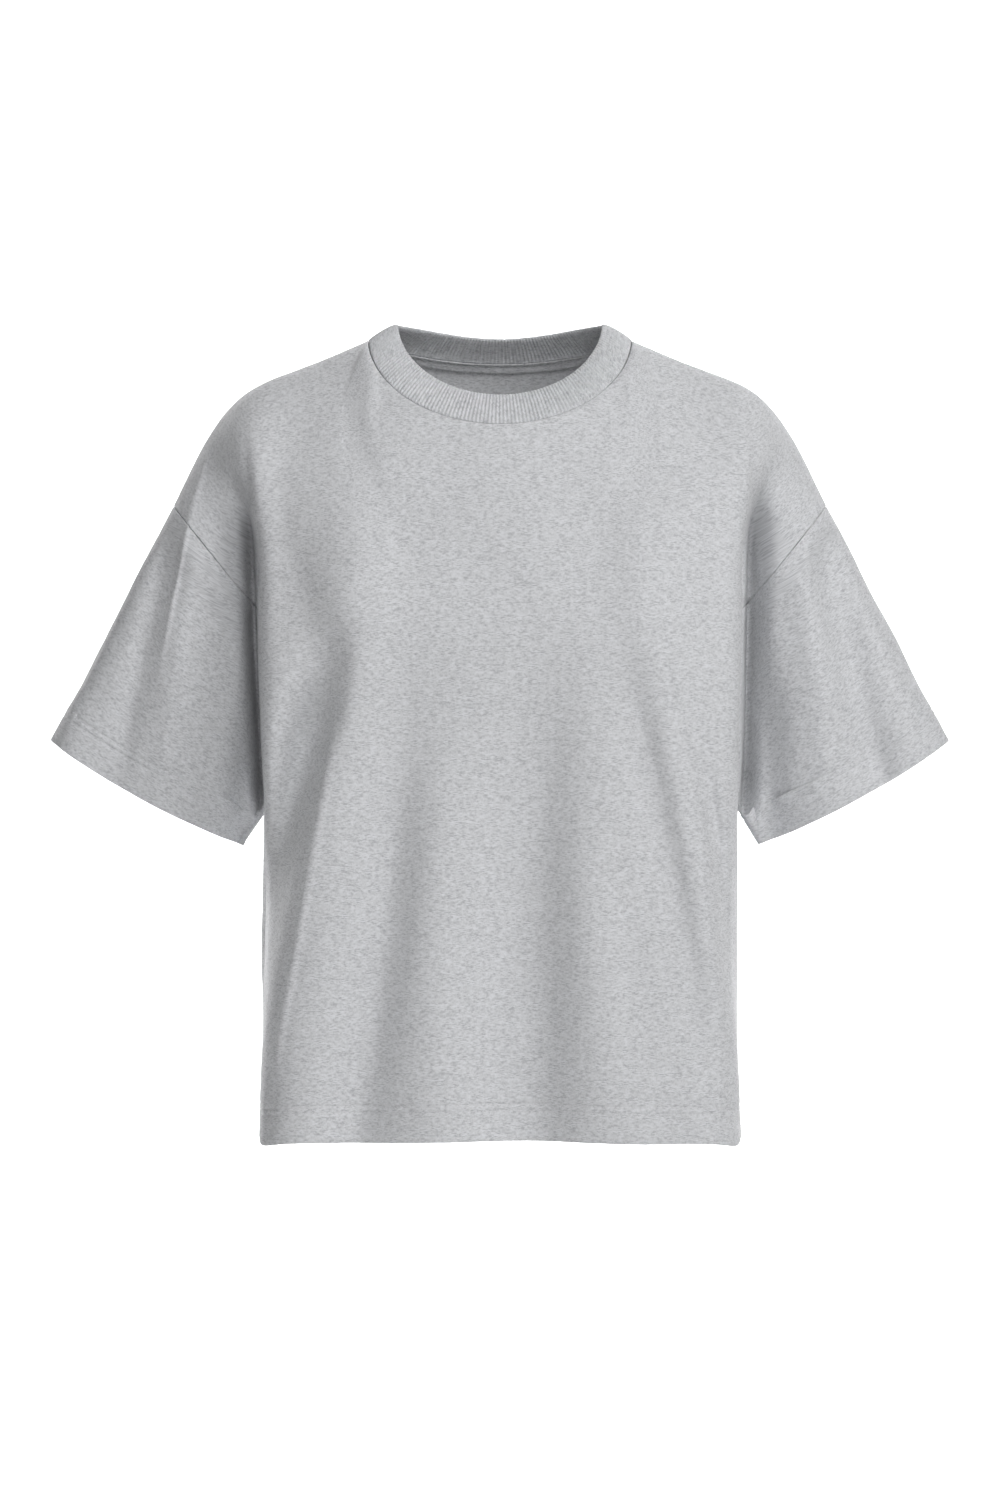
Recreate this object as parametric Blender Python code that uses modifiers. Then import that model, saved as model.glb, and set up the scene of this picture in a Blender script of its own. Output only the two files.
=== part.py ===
"""A boxy crew neck t-shirt in jersey, filled out as on a general figure with no wearer in it.

It has a front, a back, two dropped sleeves, a ribbed neckband and a narrow tape inside the back neck. Each
is a wall of cloth in its own object, a hair's breadth from its neighbours along the seams. Units are metres
with +Z up. The front faces -Y and the wearer's left is at +X. The origin is midway between the two points
where the shoulder seams meet the neckband.
"""

import math

import bmesh
import bpy
import numpy as np
from mathutils import Vector

MM = 0.001

WALL = 1.6 * MM
RIB_WALL = 2.4 * MM
TAPE_WALL = 1.0 * MM
SEAM_GAP = 0.3 * MM
SEAM_STEP = 0.02
SLEEVE_STEP = 0.012
RIM_EASE = 0.6 * MM

NECK_HALF_WIDTH = 99.0 * MM
NECK_SIDE_Y = 4.0 * MM
NECK_FRONT = (-78.0 * MM, -66.0 * MM)
NECK_BACK = (67.0 * MM, -12.0 * MM)
BAND_HALF_WIDTH = 77.0 * MM
BAND_SIDE = (-2.0 * MM, 12.5 * MM)
BAND_FRONT = (-60.0 * MM, -43.0 * MM)
BAND_BACK = (50.0 * MM, 5.0 * MM)
NECK_PEAK = 0.06
NECK_DIP = (1.0, 2.2)
BAND_DIP = (1.0, 3.6)
NECK_REACH = (0.65, 0.9)
RIB_FOOT_RISE = 2.0 * MM
RIB_COUNT = 250
RIB_RELIEF = 0.4 * MM
TAPE_ROWS = (0.3, 1.0, 1.46)
TAPE_END = 0.3
TAPE_GAP = 0.85 * MM

UNDERARM = -256.0 * MM
EDGE_ANGLE = math.radians(50)

# The hem and the levels above it hang lower inside the corners of a section than at the side seam, by a
# share of their rise.
SAG_SHARE = 0.85
SAG_FROM = 1.4
SAG_WIDTH = 0.43

# Stations across half a panel: 0 is the centre line, NECK_POINT is where the neckline meets the shoulder
# seam, and SEAM is the side edge. CROWN, FLANK, EDGE and TUCK are the named places of a section.
CENTRE_STATIONS = (0.0, 0.35, 0.7)
NECK_POINT = 1.0
CROWN = 1.0
FLANK = 1.45
EDGE = 1.87
TUCK = 2.25
SEAM = 2.65
BEYOND_SEAM = (3.0, 3.4)

# Places beyond a panel's or a sleeve's own edge that its surface is led from, so that it meets its
# neighbour in one smooth sweep.
ABOVE_TOP = -0.18
BODY_ALONG = (-0.4, -0.2)
SIDE_SEAM_BELOW = (1.30, 1.12)
BAND_BLEND = (0.6, 1.0)
UNDERARM_BLEND = (0.75, 1.0)

# Folds die out by the seams, and take up no more than this share of the way to the middle plane.
CALM_BY_SEAM = 20.0 * MM
FOLD_ROOM = 0.7
SLEEVE_FRONT_EDGE = 5.0 * MM
ARC_STEPS = 240
LINE_STEPS = 400
LOOP_STEPS = 2000
SAME_POINT = 0.001 * MM
SHARP_FADE = 0.001
TOP_SPREAD = 1.5

# The shoulder seam, from the neck to the top of the sleeve, in millimetres.
SHOULDER_COLUMNS = ("station", "across", "y", "height")
SHOULDER = (
    (1.00, 99, 4, 0),
    (1.45, 147, 6, -20),
    (1.87, 192, 6, -41),
    (2.25, 217, 6, -69),
    (2.65, 245, 8, -124),
)

# Levels of the body below the shoulder seam, in millimetres. Share runs from the top edge, 0, to the
# underarm level, 1. Armhole is the share of the way round the armhole's front or back half. Rise is how much
# higher the level passes at the centre than at the side.
LEVEL_COLUMNS = ("share", "height", "armhole", "seam_across", "seam_y", "rise")
LEVELS = (
    (0.180, -256, 0.22, 0, 0, 0),
    (0.455, -256, 0.42, 0, 0, 0),
    (0.790, -256, 0.75, 0, 0, 0),
    (1.000, -256, 1.00, 137, 5, 0),
    (1.000, -310, 1.00, 148, 5, 0),
    (1.000, -385, 1.00, 160, 5, 1),
    (1.000, -475, 1.00, 172, 4, 3),
    (1.000, -540, 1.00, 178, 4, 4),
    (1.000, -594.3, 1.00, 180, 4, 5),
)

# Where the front and the back pass through each level, in millimetres: out is the distance from the middle
# plane, and across is the distance from the centre line.
SECTION_COLUMNS = (
    "centre_out",
    "crown_across",
    "crown_out",
    "flank_across",
    "flank_out",
    "edge_across",
    "edge_out",
    "tuck_across",
    "tuck_out",
)
FRONT_SECTIONS = (
    (91, 116, 50, 157, 49, 190, 55, 207, 36),
    (109, 111, 93, 151, 85, 183, 76, 183, 36),
    (128, 105, 134, 147, 114, 180, 86, 170, 48),
    (130, 109, 137, 149, 119, 179, 87, 155, 36),
    (129, 118, 136, 151, 118, 177, 84, 159, 30),
    (127, 134, 135, 160, 118, 174, 80, 168, 28),
    (126, 150, 131, 168, 114, 175, 74, 172, 31),
    (126, 160, 127, 172, 112, 177, 68, 177, 30),
    (126, 164, 122, 174, 108, 179, 66, 179, 30),
)
BACK_SECTIONS = (
    (86, 116, 53, 157, 49, 192, 52, 210, 44),
    (100, 111, 91, 153, 80, 187, 70, 186, 50),
    (105, 108, 107, 153, 92, 184, 78, 170, 56),
    (103, 112, 108, 156, 95, 183, 78, 157, 46),
    (101, 118, 106, 160, 95, 181, 72, 160, 38),
    (99, 128, 106, 166, 94, 180, 66, 169, 35),
    (104, 140, 112, 171, 97, 179, 60, 175, 32),
    (110, 148, 117, 173, 98, 179, 57, 179, 30),
    (115, 152, 120, 174, 99, 179, 56, 180, 30),
)

# Sections of the sleeve, from the armhole to the cuff, in millimetres.
SLEEVE_COLUMNS = (
    "along",
    "top_across",
    "top_height",
    "under_across",
    "under_height",
    "middle_y",
    "front_out",
    "back_out",
    "squareness",
    "taper",
    "sag",
)
SLEEVE_SECTIONS = (
    (0.00, 245, -124, 137, -256, 7, 60, 56, 2.6, 0.50, 0),
    (0.12, 256, -145, 143, -270, 6, 57, 54, 2.6, 0.42, 0),
    (0.40, 281, -194, 156, -304, 4, 53, 50, 2.4, 0.20, 2),
    (0.70, 309, -248, 172, -341, 2, 45, 43, 2.2, 0.05, 4),
    (1.00, 337, -300, 194, -378, 0, 36, 35, 2.1, 0.00, 5),
)

# Folds, in millimetres, as seen from the front. Depth is inwards, so a ridge has a negative one. Less and
# more are its half widths towards lower and higher across. Fade is the share of its length over which each
# end dies away.
FOLD_COLUMNS = (
    "from_across",
    "from_height",
    "to_across",
    "to_height",
    "bow",
    "less",
    "more",
    "depth",
    "fade_in",
    "fade_out",
)
FRONT_FOLDS = (
    (-119, -225, -206, -600, -2, 22, 17, 28, 0.30, 0.30),
    (-70, -218, -112, -650, 9, 24, 19, 12, 0.50, 0.00),
    (-157, -369, -176, -650, -6, 22, 36, 5, 0.30, 0.00),
    (30, -190, 31, -650, 0, 30, 23, 13, 0.40, 0.00),
    (83, -197, 169, -620, 1, 20, 14, 10, 0.30, 0.28),
    (53, -297, 105, -650, -13, 46, 32, -14, 0.41, 0.00),
    (-34, -275, -45, -650, -7, 36, 28, -11, 0.37, 0.00),
    (15, -70, 15, -418, 9, 85, 63, -7, 0.30, 0.40),
    (-174, -65, -121, -262, -9, 24, 18, 5, 0.30, 0.30),
)
BACK_FOLDS = (
    (-70, -250, -92, -650, -6, 26, 22, 8, 0.45, 0.00),
    (58, -230, 74, -650, 6, 20, 26, 7, 0.50, 0.00),
    (-6, -200, 10, -650, 8, 28, 28, 5, 0.55, 0.00),
    (-132, -250, -150, -600, 6, 22, 16, 7, 0.40, 0.10),
    (138, -240, 152, -600, -6, 16, 22, 6, 0.40, 0.15),
)
LEFT_SLEEVE_FOLDS = (
    (240, -140, 292, -410, -7, 15, 15, 7, 0.22, 0.40),
    (216, -110, 250, -410, 4, 14, 14, -5, 0.22, 0.40),
)
RIGHT_SLEEVE_FOLDS = (
    (-245, -140, -294, -410, 7, 14, 14, 8, 0.22, 0.40),
    (-216, -100, -257, -410, -4, 13, 13, -6, 0.22, 0.40),
)

PANEL_ACROSS = (10, 3, 3, 3, 4)
PANEL_DOWN = (3, 3, 4, 4, 2, 2, 2, 1, 2)
SLEEVE_ALONG = (2, 3, 4, 4)

JERSEY_GREY = (0.50, 0.50, 0.51, 1.0)
RIB_GREY = (0.49, 0.49, 0.50, 1.0)
TAPE_GREY = (0.40, 0.40, 0.41, 1.0)
CLOTH_ROUGHNESS = 0.9


def columns(names, rows):
    """A table in millimetres as one array for each named column."""
    return dict(zip(names, np.array(rows, float).T))


def unit(vectors):
    return vectors / np.linalg.norm(vectors, axis=-1, keepdims=True)


def run_of(points):
    """How far each point of a curve lies along it."""
    return np.concatenate(([0.0], np.cumsum(np.linalg.norm(np.diff(points, axis=0), axis=1))))


def smoothstep(value):
    value = np.clip(value, 0.0, 1.0)
    return value * value * (3.0 - 2.0 * value)


def blend(value, ends):
    """From 0 at the first end to 1 at the second, smoothly."""
    return smoothstep((value - ends[0]) / (ends[1] - ends[0]))


def steady(stations, values, at):
    """The cubic through the values that never runs past them."""
    step = np.diff(stations)
    slope = np.diff(values) / step
    agree = slope[:-1] * slope[1:] > 0
    total = np.where(agree, slope[:-1] + slope[1:], 1.0)
    inner = np.where(agree, 2.0 * slope[:-1] * slope[1:] / total, 0.0)
    tangent = np.concatenate((slope[:1], inner, slope[-1:]))
    place = np.clip(np.searchsorted(stations, at, side="right") - 1, 0, len(step) - 1)
    width = step[place]
    t = (at - stations[place]) / width
    start = values[place] * (1 + 2 * t) + tangent[place] * width * t
    end = values[place + 1] * (3 - 2 * t) - tangent[place + 1] * width * (1 - t)
    return start * (1 - t) ** 2 + end * t**2


def spline(knots, points, at):
    """The natural cubic spline through the points, one point a row."""
    count = len(knots)
    step = np.diff(knots)
    system = np.eye(count)
    bend = np.zeros_like(points)
    for i in range(1, count - 1):
        system[i, i - 1 : i + 2] = (step[i - 1], 2 * (step[i - 1] + step[i]), step[i])
        ahead = (points[i + 1] - points[i]) / step[i]
        behind = (points[i] - points[i - 1]) / step[i - 1]
        bend[i] = 6 * (ahead - behind)
    curve = np.linalg.solve(system, bend)
    place = np.clip(np.searchsorted(knots, at, side="right") - 1, 0, count - 2)
    width = step[place][:, None]
    b = ((at - knots[place]) / step[place])[:, None]
    a = 1 - b
    straight = a * points[place] + b * points[place + 1]
    bent = (a**3 - a) * curve[place] + (b**3 - b) * curve[place + 1]
    return straight + bent * width**2 / 6


def thread(points, stations, at):
    """The smooth curve through points that lie at the stations, read at other stations."""
    knots = run_of(points)
    return spline(knots, points, steady(stations, knots, at))


def ring(half_width, side, far, dip, reach, turn):
    """A neckline, at turns in quarters round from the shoulder, 0, to the centre of the front or back, 1."""
    swing = np.sin(turn * math.pi / 2)
    rise = (np.hypot(swing, NECK_PEAK) - NECK_PEAK) / (math.hypot(1, NECK_PEAK) - NECK_PEAK)
    x = half_width * np.cos(turn * math.pi / 2)
    y = side[0] + (far[0] - side[0]) * swing**reach
    z = side[1] + (far[1] - side[1]) * rise**dip
    return np.stack((x, y, z), axis=-1)


def neck_seam(facing, turn):
    i = 0 if facing < 0 else 1
    far = (NECK_FRONT, NECK_BACK)[i]
    return ring(NECK_HALF_WIDTH, (NECK_SIDE_Y, 0.0), far, NECK_DIP[i], NECK_REACH[i], turn)


def band_edge(facing, turn):
    i = 0 if facing < 0 else 1
    far = (BAND_FRONT, BAND_BACK)[i]
    return ring(BAND_HALF_WIDTH, BAND_SIDE, far, BAND_DIP[i], NECK_REACH[i], turn)


def sleeve_half(section, facing, shares):
    """The front or back half of a section of the left sleeve, at shares of its length from the top down."""
    _, top_x, top_z, under_x, under_z, middle, front, back, squareness, taper, sag = section
    angle = np.linspace(0, math.pi, ARC_STEPS + 1)
    sway = np.sign(np.cos(angle)) * np.abs(np.cos(angle)) ** (2 / squareness)
    down = (1 - sway) / 2
    out = np.sin(angle) ** (2 / squareness) * (1 - taper * down**2)
    depth = front if facing < 0 else back
    chord = math.hypot(under_x - top_x, under_z - top_z)
    droop = sag * np.sin(angle) ** 2 / chord
    x = top_x + (under_x - top_x) * down - (under_z - top_z) * droop
    y = middle + facing * depth * out
    z = top_z + (under_z - top_z) * down + (under_x - top_x) * droop
    points = np.stack((x, y, z), axis=-1) * MM
    run = run_of(points)
    return np.stack([np.interp(shares * run[-1], run, points[:, i]) for i in range(3)], axis=-1)


def level_stations():
    level = columns(LEVEL_COLUMNS, LEVELS)
    below = 1 + (level["height"] * MM - UNDERARM) / UNDERARM
    return np.where(level["share"] < 1, level["share"], below)


def armhole_share(down):
    level = columns(LEVEL_COLUMNS, LEVELS[:4])
    stations = np.concatenate(([0.0], level["share"]))
    return steady(stations, np.concatenate(([0.0], level["armhole"])), np.clip(down, 0, 1))


def shoulder_seam(at):
    shoulder = columns(SHOULDER_COLUMNS, SHOULDER)
    beyond = sleeve_half(SLEEVE_SECTIONS[1], -1, np.array([0.0]))
    points = np.stack((shoulder["across"], shoulder["y"], shoulder["height"]), axis=-1) * MM
    stations = np.append(shoulder["station"], BEYOND_SEAM[0])
    return thread(np.concatenate((points, beyond)), stations, at)


def top_edge(facing, at):
    """The upper edge of half a panel: the neck seam, then the shoulder seam from the neck point."""
    neck = neck_seam(facing, 1 - np.minimum(at, NECK_POINT))
    return np.where((at <= NECK_POINT)[:, None], neck, shoulder_seam(np.maximum(at, NECK_POINT)))


def side_edge(facing, at):
    """The outer edge of half a panel: the armhole down to station 1, then the side seam."""
    level = columns(LEVEL_COLUMNS, LEVELS[3:])
    points = np.stack((level["seam_across"], level["seam_y"], level["height"]), axis=-1) * MM
    seam = thread(points, level_stations()[3:], np.maximum(at, 1))
    armhole = sleeve_half(SLEEVE_SECTIONS[0], facing, armhole_share(at))
    return np.where((at <= 1)[:, None], armhole, seam)


def level_row(facing, index, at):
    """The curve in which half a panel passes through one level, from the centre line to the side."""
    share, height, armhole, seam_x, seam_y, rise = LEVELS[index]
    here = FRONT_SECTIONS[index] if facing < 0 else BACK_SECTIONS[index]
    there = BACK_SECTIONS[index] if facing < 0 else FRONT_SECTIONS[index]
    centre, crown_x, crown_y, flank_x, flank_y, edge_x, edge_y, tuck_x, tuck_y = here
    inner = np.append(CENTRE_STATIONS, CROWN)
    spread = inner + (np.sin(inner * math.pi / 2) - inner) * (1 - share) ** TOP_SPREAD
    across = np.append(crown_x * spread, (flank_x, edge_x, tuck_x))
    out = np.append(centre + (crown_y - centre) * inner**2, (flank_y, edge_y, tuck_y))
    stations = np.append(inner, (FLANK, EDGE, TUCK))
    top = top_edge(facing, stations)[:, 2] / MM
    sag = SAG_SHARE * (1 - smoothstep((stations - SAG_FROM) / SAG_WIDTH))
    tall = top * (1 - share) + height * share + rise * (1 - smoothstep(stations / EDGE) - sag)
    points = np.stack((across, facing * out, tall), axis=-1) * MM
    if share < 1:
        sections = SLEEVE_SECTIONS[:3]
        outside = np.concatenate([sleeve_half(row, facing, np.array([armhole])) for row in sections])
    else:
        near = (there[7], -facing * there[8], height)
        far = (there[5], -facing * there[6], height)
        outside = np.array([(seam_x, seam_y, height), near, far]) * MM
    mirrored = points[2:0:-1] * (-1, 1, 1)
    points = np.concatenate((mirrored, points, outside))
    stations = np.concatenate((-stations[2:0:-1], stations, (SEAM, *BEYOND_SEAM)))
    return thread(points, stations, at)


def half_panel(facing, across, down):
    """The right-hand half of the front or back as a grid of points, with a row for each station down."""
    top = top_edge(facing, across)
    rows = [level_row(facing, i, across) for i in range(len(LEVELS))]
    over = level_row(-facing, 0, across)
    band = band_edge(facing, 1 - np.minimum(across, NECK_POINT))
    before = band + (over - band) * blend(across, BAND_BLEND)[:, None]
    knots = np.stack([before, top, *rows])
    stations = np.concatenate(([ABOVE_TOP, 0.0], level_stations()))
    grid = np.stack([thread(knots[:, j], stations, down) for j in range(len(across))], axis=1)
    edge = thread(np.stack([row[-1] for row in knots]), stations, down)
    pull = (side_edge(facing, down) - edge)[:, None, :]
    return grid + pull * blend(across, (TUCK, SEAM))[None, :, None]


def fold_shift(points, folds):
    """How far each fold pushes each point inwards."""
    shift = np.zeros(points.shape[:-1])
    for x0, z0, x1, z1, bow, less, more, depth, fade_in, fade_out in folds:
        start = np.array((x0, z0)) * MM
        run = np.array((x1, z1)) * MM - start
        length = np.linalg.norm(run)
        way = points[..., (0, 2)] - start
        along = (way @ run) / length**2
        aside = (way[..., 1] * run[0] - way[..., 0] * run[1]) / length
        aside = aside - bow * MM * 4 * along * (1 - along)
        half_width = np.where(aside < 0, less, more) * MM
        fade = smoothstep(along / max(fade_in, SHARP_FADE))
        fade = fade * smoothstep((1 - along) / max(fade_out, SHARP_FADE))
        shift = shift + depth * MM * np.exp(-((aside / half_width) ** 2)) * fade
    return shift


def spaced(counts, stations):
    """Stations with so many steps between each pair of main ones."""
    steps = [np.linspace(a, b, n + 1)[:-1] for a, b, n in zip(stations, stations[1:], counts)]
    return np.append(np.concatenate(steps), stations[-1])


def even_turns(line, turns, count):
    """So many turns from the first to the last of those given, evenly apart along the line."""
    run = run_of(line(turns))
    return np.interp(np.linspace(0, run[-1], count), run, turns)


def panel_across(facing):
    """Stations across half a panel: evenly apart along its neckline, then along its shoulder seam."""
    fine = np.linspace(0, 1, LINE_STEPS + 1)
    neck = even_turns(lambda turn: neck_seam(facing, turn), fine, PANEL_ACROSS[0] + 1)
    rest = spaced(PANEL_ACROSS[1:], (NECK_POINT, FLANK, EDGE, TUCK, SEAM))
    half = np.concatenate((1 - neck[:0:-1], rest))
    return np.insert(half, -1, half[-1] - SEAM_STEP)


def panel_down():
    down = spaced(PANEL_DOWN, np.append(0.0, level_stations()))
    return np.insert(down, 1, SEAM_STEP / 2)


def drop_to_seams(grid, edges):
    """Draws the named edges of a grid back by half the gap of a seam."""
    pairs = {
        "top": (grid[0], grid[1]),
        "left": (grid[:, 0], grid[:, 1]),
        "right": (grid[:, -1], grid[:, -2]),
    }
    for name in edges:
        edge, inside = pairs[name]
        edge += unit(inside - edge) * SEAM_GAP / 2


def panel_grid(facing):
    half = half_panel(facing, panel_across(facing), panel_down())
    grid = np.concatenate((half[:, :0:-1] * (-1, 1, 1), half), axis=1)
    folds = FRONT_FOLDS if facing < 0 else BACK_FOLDS
    shift = fold_shift(grid, folds) * seam_calm(grid)
    room = FOLD_ROOM * np.abs(grid[..., 1]) + SAME_POINT
    grid[..., 1] -= facing * room * np.tanh(shift / room)
    return grid


def seam_calm(grid):
    """Nought on the seams and full a little way in, so that folds leave the seams where they are."""
    top = np.linalg.norm(grid - grid[:1], axis=-1)
    left = np.linalg.norm(grid - grid[:, :1], axis=-1)
    right = np.linalg.norm(grid - grid[:, -1:], axis=-1)
    nearest = np.minimum(top, np.minimum(left, right))
    return smoothstep(nearest / CALM_BY_SEAM)


def sleeve_grid():
    """The left sleeve as a grid of points: a row for each place along it, and a column for each round it."""
    down = panel_down()
    down = down[down <= 1]
    shares = armhole_share(down)
    along = spaced(SLEEVE_ALONG, [row[0] for row in SLEEVE_SECTIONS])
    along = np.insert(along, 1, SLEEVE_STEP)
    stations = np.append(BODY_ALONG, [row[0] for row in SLEEVE_SECTIONS])
    leave_body = blend(down, UNDERARM_BLEND)[:, None, None]
    halves = []
    for facing in (-1, 1):
        body = half_panel(facing, np.array([EDGE, TUCK, SEAM]), down)[:, :2]
        under = side_edge(facing, np.array(SIDE_SEAM_BELOW))
        body = body + (under - body) * leave_body
        rings = [sleeve_half(section, facing, shares) for section in SLEEVE_SECTIONS]
        knots = np.stack([body[:, 0], body[:, 1], *rings])
        halves.append([thread(knots[:, j], stations, along) for j in range(len(down))])
    front, back = (np.stack(half, axis=1) for half in halves)
    return np.concatenate((front, back[:, -2::-1]), axis=1)


def side_sleeve(side):
    grid = sleeve_grid() * (side, 1, 1)
    folds = LEFT_SLEEVE_FOLDS if side > 0 else RIGHT_SLEEVE_FOLDS
    calm = smoothstep(np.linalg.norm(grid - grid[:1], axis=-1) / CALM_BY_SEAM)
    front = blend(-grid[..., 1], (-SLEEVE_FRONT_EDGE, CALM_BY_SEAM - SLEEVE_FRONT_EDGE))
    grid[..., 1] += fold_shift(grid, folds) * calm * front
    return grid


def tidy_scene():
    for item in list(bpy.data.objects):
        bpy.data.objects.remove(item, do_unlink=True)


def material(name, colour):
    made = bpy.data.materials.new(name)
    made.use_nodes = True
    shader = made.node_tree.nodes["Principled BSDF"]
    shader.inputs["Base Color"].default_value = colour
    shader.inputs["Roughness"].default_value = CLOTH_ROUGHNESS
    return made


def mesh_of(name, grid, closed=False, flip=False):
    """A sheet mesh shaped to a grid of points, its last column joined to its first when closed."""
    rows, cols = grid.shape[:2]
    sheet = bmesh.new()
    bmesh.ops.create_grid(sheet, x_segments=cols - 1, y_segments=rows - 1, size=1.0)
    for vertex in sheet.verts:
        col = round((vertex.co.x + 1) / 2 * (cols - 1))
        row = round((vertex.co.y + 1) / 2 * (rows - 1))
        vertex.co = grid[row, col]
    if closed:
        bmesh.ops.remove_doubles(sheet, verts=sheet.verts, dist=SAME_POINT)
    if flip:
        bmesh.ops.reverse_faces(sheet, faces=sheet.faces)
    mesh = bpy.data.meshes.new(name)
    sheet.to_mesh(mesh)
    sheet.free()
    return mesh


def ease_rim(sheet, solid):
    """Draws the inner rim of a wall back along the cloth, so that walls that meet at an angle stay clear."""
    flat = bmesh.new()
    flat.from_mesh(sheet)
    inner = solid.vertices[len(flat.verts) :]
    moves = []
    for vertex in flat.verts:
        if vertex.is_boundary:
            near = [edge.other_vert(vertex) for edge in vertex.link_edges if not edge.is_boundary]
            near = near or [edge.other_vert(vertex) for edge in vertex.link_edges]
            middle = sum((inner[other.index].co for other in near), Vector()) / len(near)
            moves.append((inner[vertex.index], middle - inner[vertex.index].co))
    for vertex, away in moves:
        vertex.co += away.normalized() * RIM_EASE
    flat.free()


def add_piece(name, mesh, finish, collection, wall=0.0):
    """An object for one piece, its sheet thickened inwards to a wall."""
    piece = bpy.data.objects.new(name, mesh)
    mesh.materials.append(finish)
    collection.objects.link(piece)
    if wall:
        shell = piece.modifiers.new("wall", "SOLIDIFY")
        shell.thickness = wall
        shell.offset = -1
        bpy.context.view_layer.update()
        solid = piece.evaluated_get(bpy.context.evaluated_depsgraph_get())
        piece.data = bpy.data.meshes.new_from_object(solid)
        piece.modifiers.clear()
        ease_rim(mesh, piece.data)
        bpy.data.meshes.remove(mesh)
        piece.data.name = name
    piece.data.shade_smooth()
    piece.data.set_sharp_from_angle(angle=EDGE_ANGLE)
    return piece


def normals_of(mesh, shape):
    """The unit normals of a sheet mesh, in the rows and columns of its grid."""
    normals = np.empty(len(mesh.vertices) * 3)
    mesh.vertices.foreach_get("normal", normals)
    return normals.reshape(shape)


def between(grid, rows, cols):
    """The points of a grid at rows and columns that may lie part of the way between its own."""
    row = np.minimum(np.floor(rows).astype(int), grid.shape[0] - 2)
    col = np.minimum(np.floor(cols).astype(int), grid.shape[1] - 2)
    down = (rows - row)[:, None, None]
    across = (cols - col)[None, :, None]
    left = grid[row][:, col] * (1 - down) + grid[row + 1][:, col] * down
    right = grid[row][:, col + 1] * (1 - down) + grid[row + 1][:, col + 1] * down
    return left * (1 - across) + right * across


def tape_grid(back, normals):
    """The tape's outer face: the back's own points, moved in past its wall and the gap."""
    middle = back.shape[1] // 2
    corner = PANEL_ACROSS[0]
    cols = np.arange(middle - corner, middle + corner + 1.0)
    cols[[0, -1]] += (TAPE_END, -TAPE_END)
    inside = back - normals * (WALL + TAPE_GAP)
    return between(inside, np.array(TAPE_ROWS), cols)


def neck_loop(line, turns):
    """A closed neckline at turns in quarters from the left shoulder, round the front and then the back."""
    quarter = np.mod(turns, 4)
    facing = np.where(quarter < 2, -1, 1)
    near = 1 - np.abs(np.mod(quarter, 2) - 1)
    right = (quarter > 1) & (quarter < 3)
    front = line(-1, near)
    back = line(1, near)
    points = np.where((facing < 0)[:, None], front, back)
    points[:, 0] = np.where(right, -points[:, 0], points[:, 0])
    return points


def neck_middle(turns):
    return (neck_loop(neck_seam, turns) + neck_loop(band_edge, turns)) / 2


def rib_grid():
    """The neckband as a closed section swept round the neck, a raised column and a low one for each rib."""
    fine = np.linspace(0, 4, LOOP_STEPS + 1)
    turns = even_turns(neck_middle, fine, 2 * RIB_COUNT + 1)[:-1]
    seam = neck_loop(neck_seam, turns)
    edge = neck_loop(band_edge, turns)
    up = unit(edge - seam)
    around = np.roll(seam + edge, -1, axis=0) - np.roll(seam + edge, 1, axis=0)
    inward = unit(np.cross(around, up))
    inward = inward * np.sign(np.sum(inward * (-seam * (1, 1, 0)), axis=-1, keepdims=True))
    raised = np.where(np.arange(len(turns)) % 2 == 0, RIB_RELIEF, 0.0)[:, None]
    foot = seam + up * SEAM_GAP / 2
    inner_foot = foot + inward * RIB_WALL + up * RIB_FOOT_RISE
    rows = (foot - inward * raised, edge - inward * raised, edge + inward * RIB_WALL, inner_foot)
    grid = np.stack((*rows, rows[0]))
    return np.concatenate((grid, grid[:, :1]), axis=1)


def build():
    tidy_scene()
    shirt = bpy.data.collections.new("crew_neck_t_shirt")
    bpy.context.scene.collection.children.link(shirt)
    for name, facing in (("front", -1), ("back", 1)):
        grid = panel_grid(facing)
        drop_to_seams(grid, ("top", "left", "right"))
        mesh = mesh_of(name, grid, flip=facing < 0)
        normals = normals_of(mesh, grid.shape)
        add_piece(name, mesh, material(name + "_jersey", JERSEY_GREY), shirt, WALL)
    tape = mesh_of("neck_tape", tape_grid(grid, normals))
    add_piece("neck_tape", tape, material("neck_tape_jersey", TAPE_GREY), shirt, TAPE_WALL)
    for name, side in (("sleeve_left", 1), ("sleeve_right", -1)):
        grid = side_sleeve(side)
        drop_to_seams(grid, ("top",))
        mesh = mesh_of(name, grid, closed=True, flip=side < 0)
        add_piece(name, mesh, material(name + "_jersey", JERSEY_GREY), shirt, WALL)
    band = mesh_of("neck_rib", rib_grid(), closed=True, flip=True)
    add_piece("neck_rib", band, material("neck_rib_knit", RIB_GREY), shirt)


if __name__ == "__main__":
    build()
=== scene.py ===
"""Dresses the boxy crew neck t-shirt in light grey heather jersey: folds, seams, rib, hems and stitching.

Each panel is one sheet of cloth, worked out from the same sections as the solid it stands for, with its
seam allowances turned in and its hem folded up. Units are metres with +Z up. The front faces -Y and the
wearer's left is at +X.
"""

import math

import bpy
import numpy as np
from bpy.props import FloatProperty, FloatVectorProperty, PointerProperty
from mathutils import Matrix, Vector, noise


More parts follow.
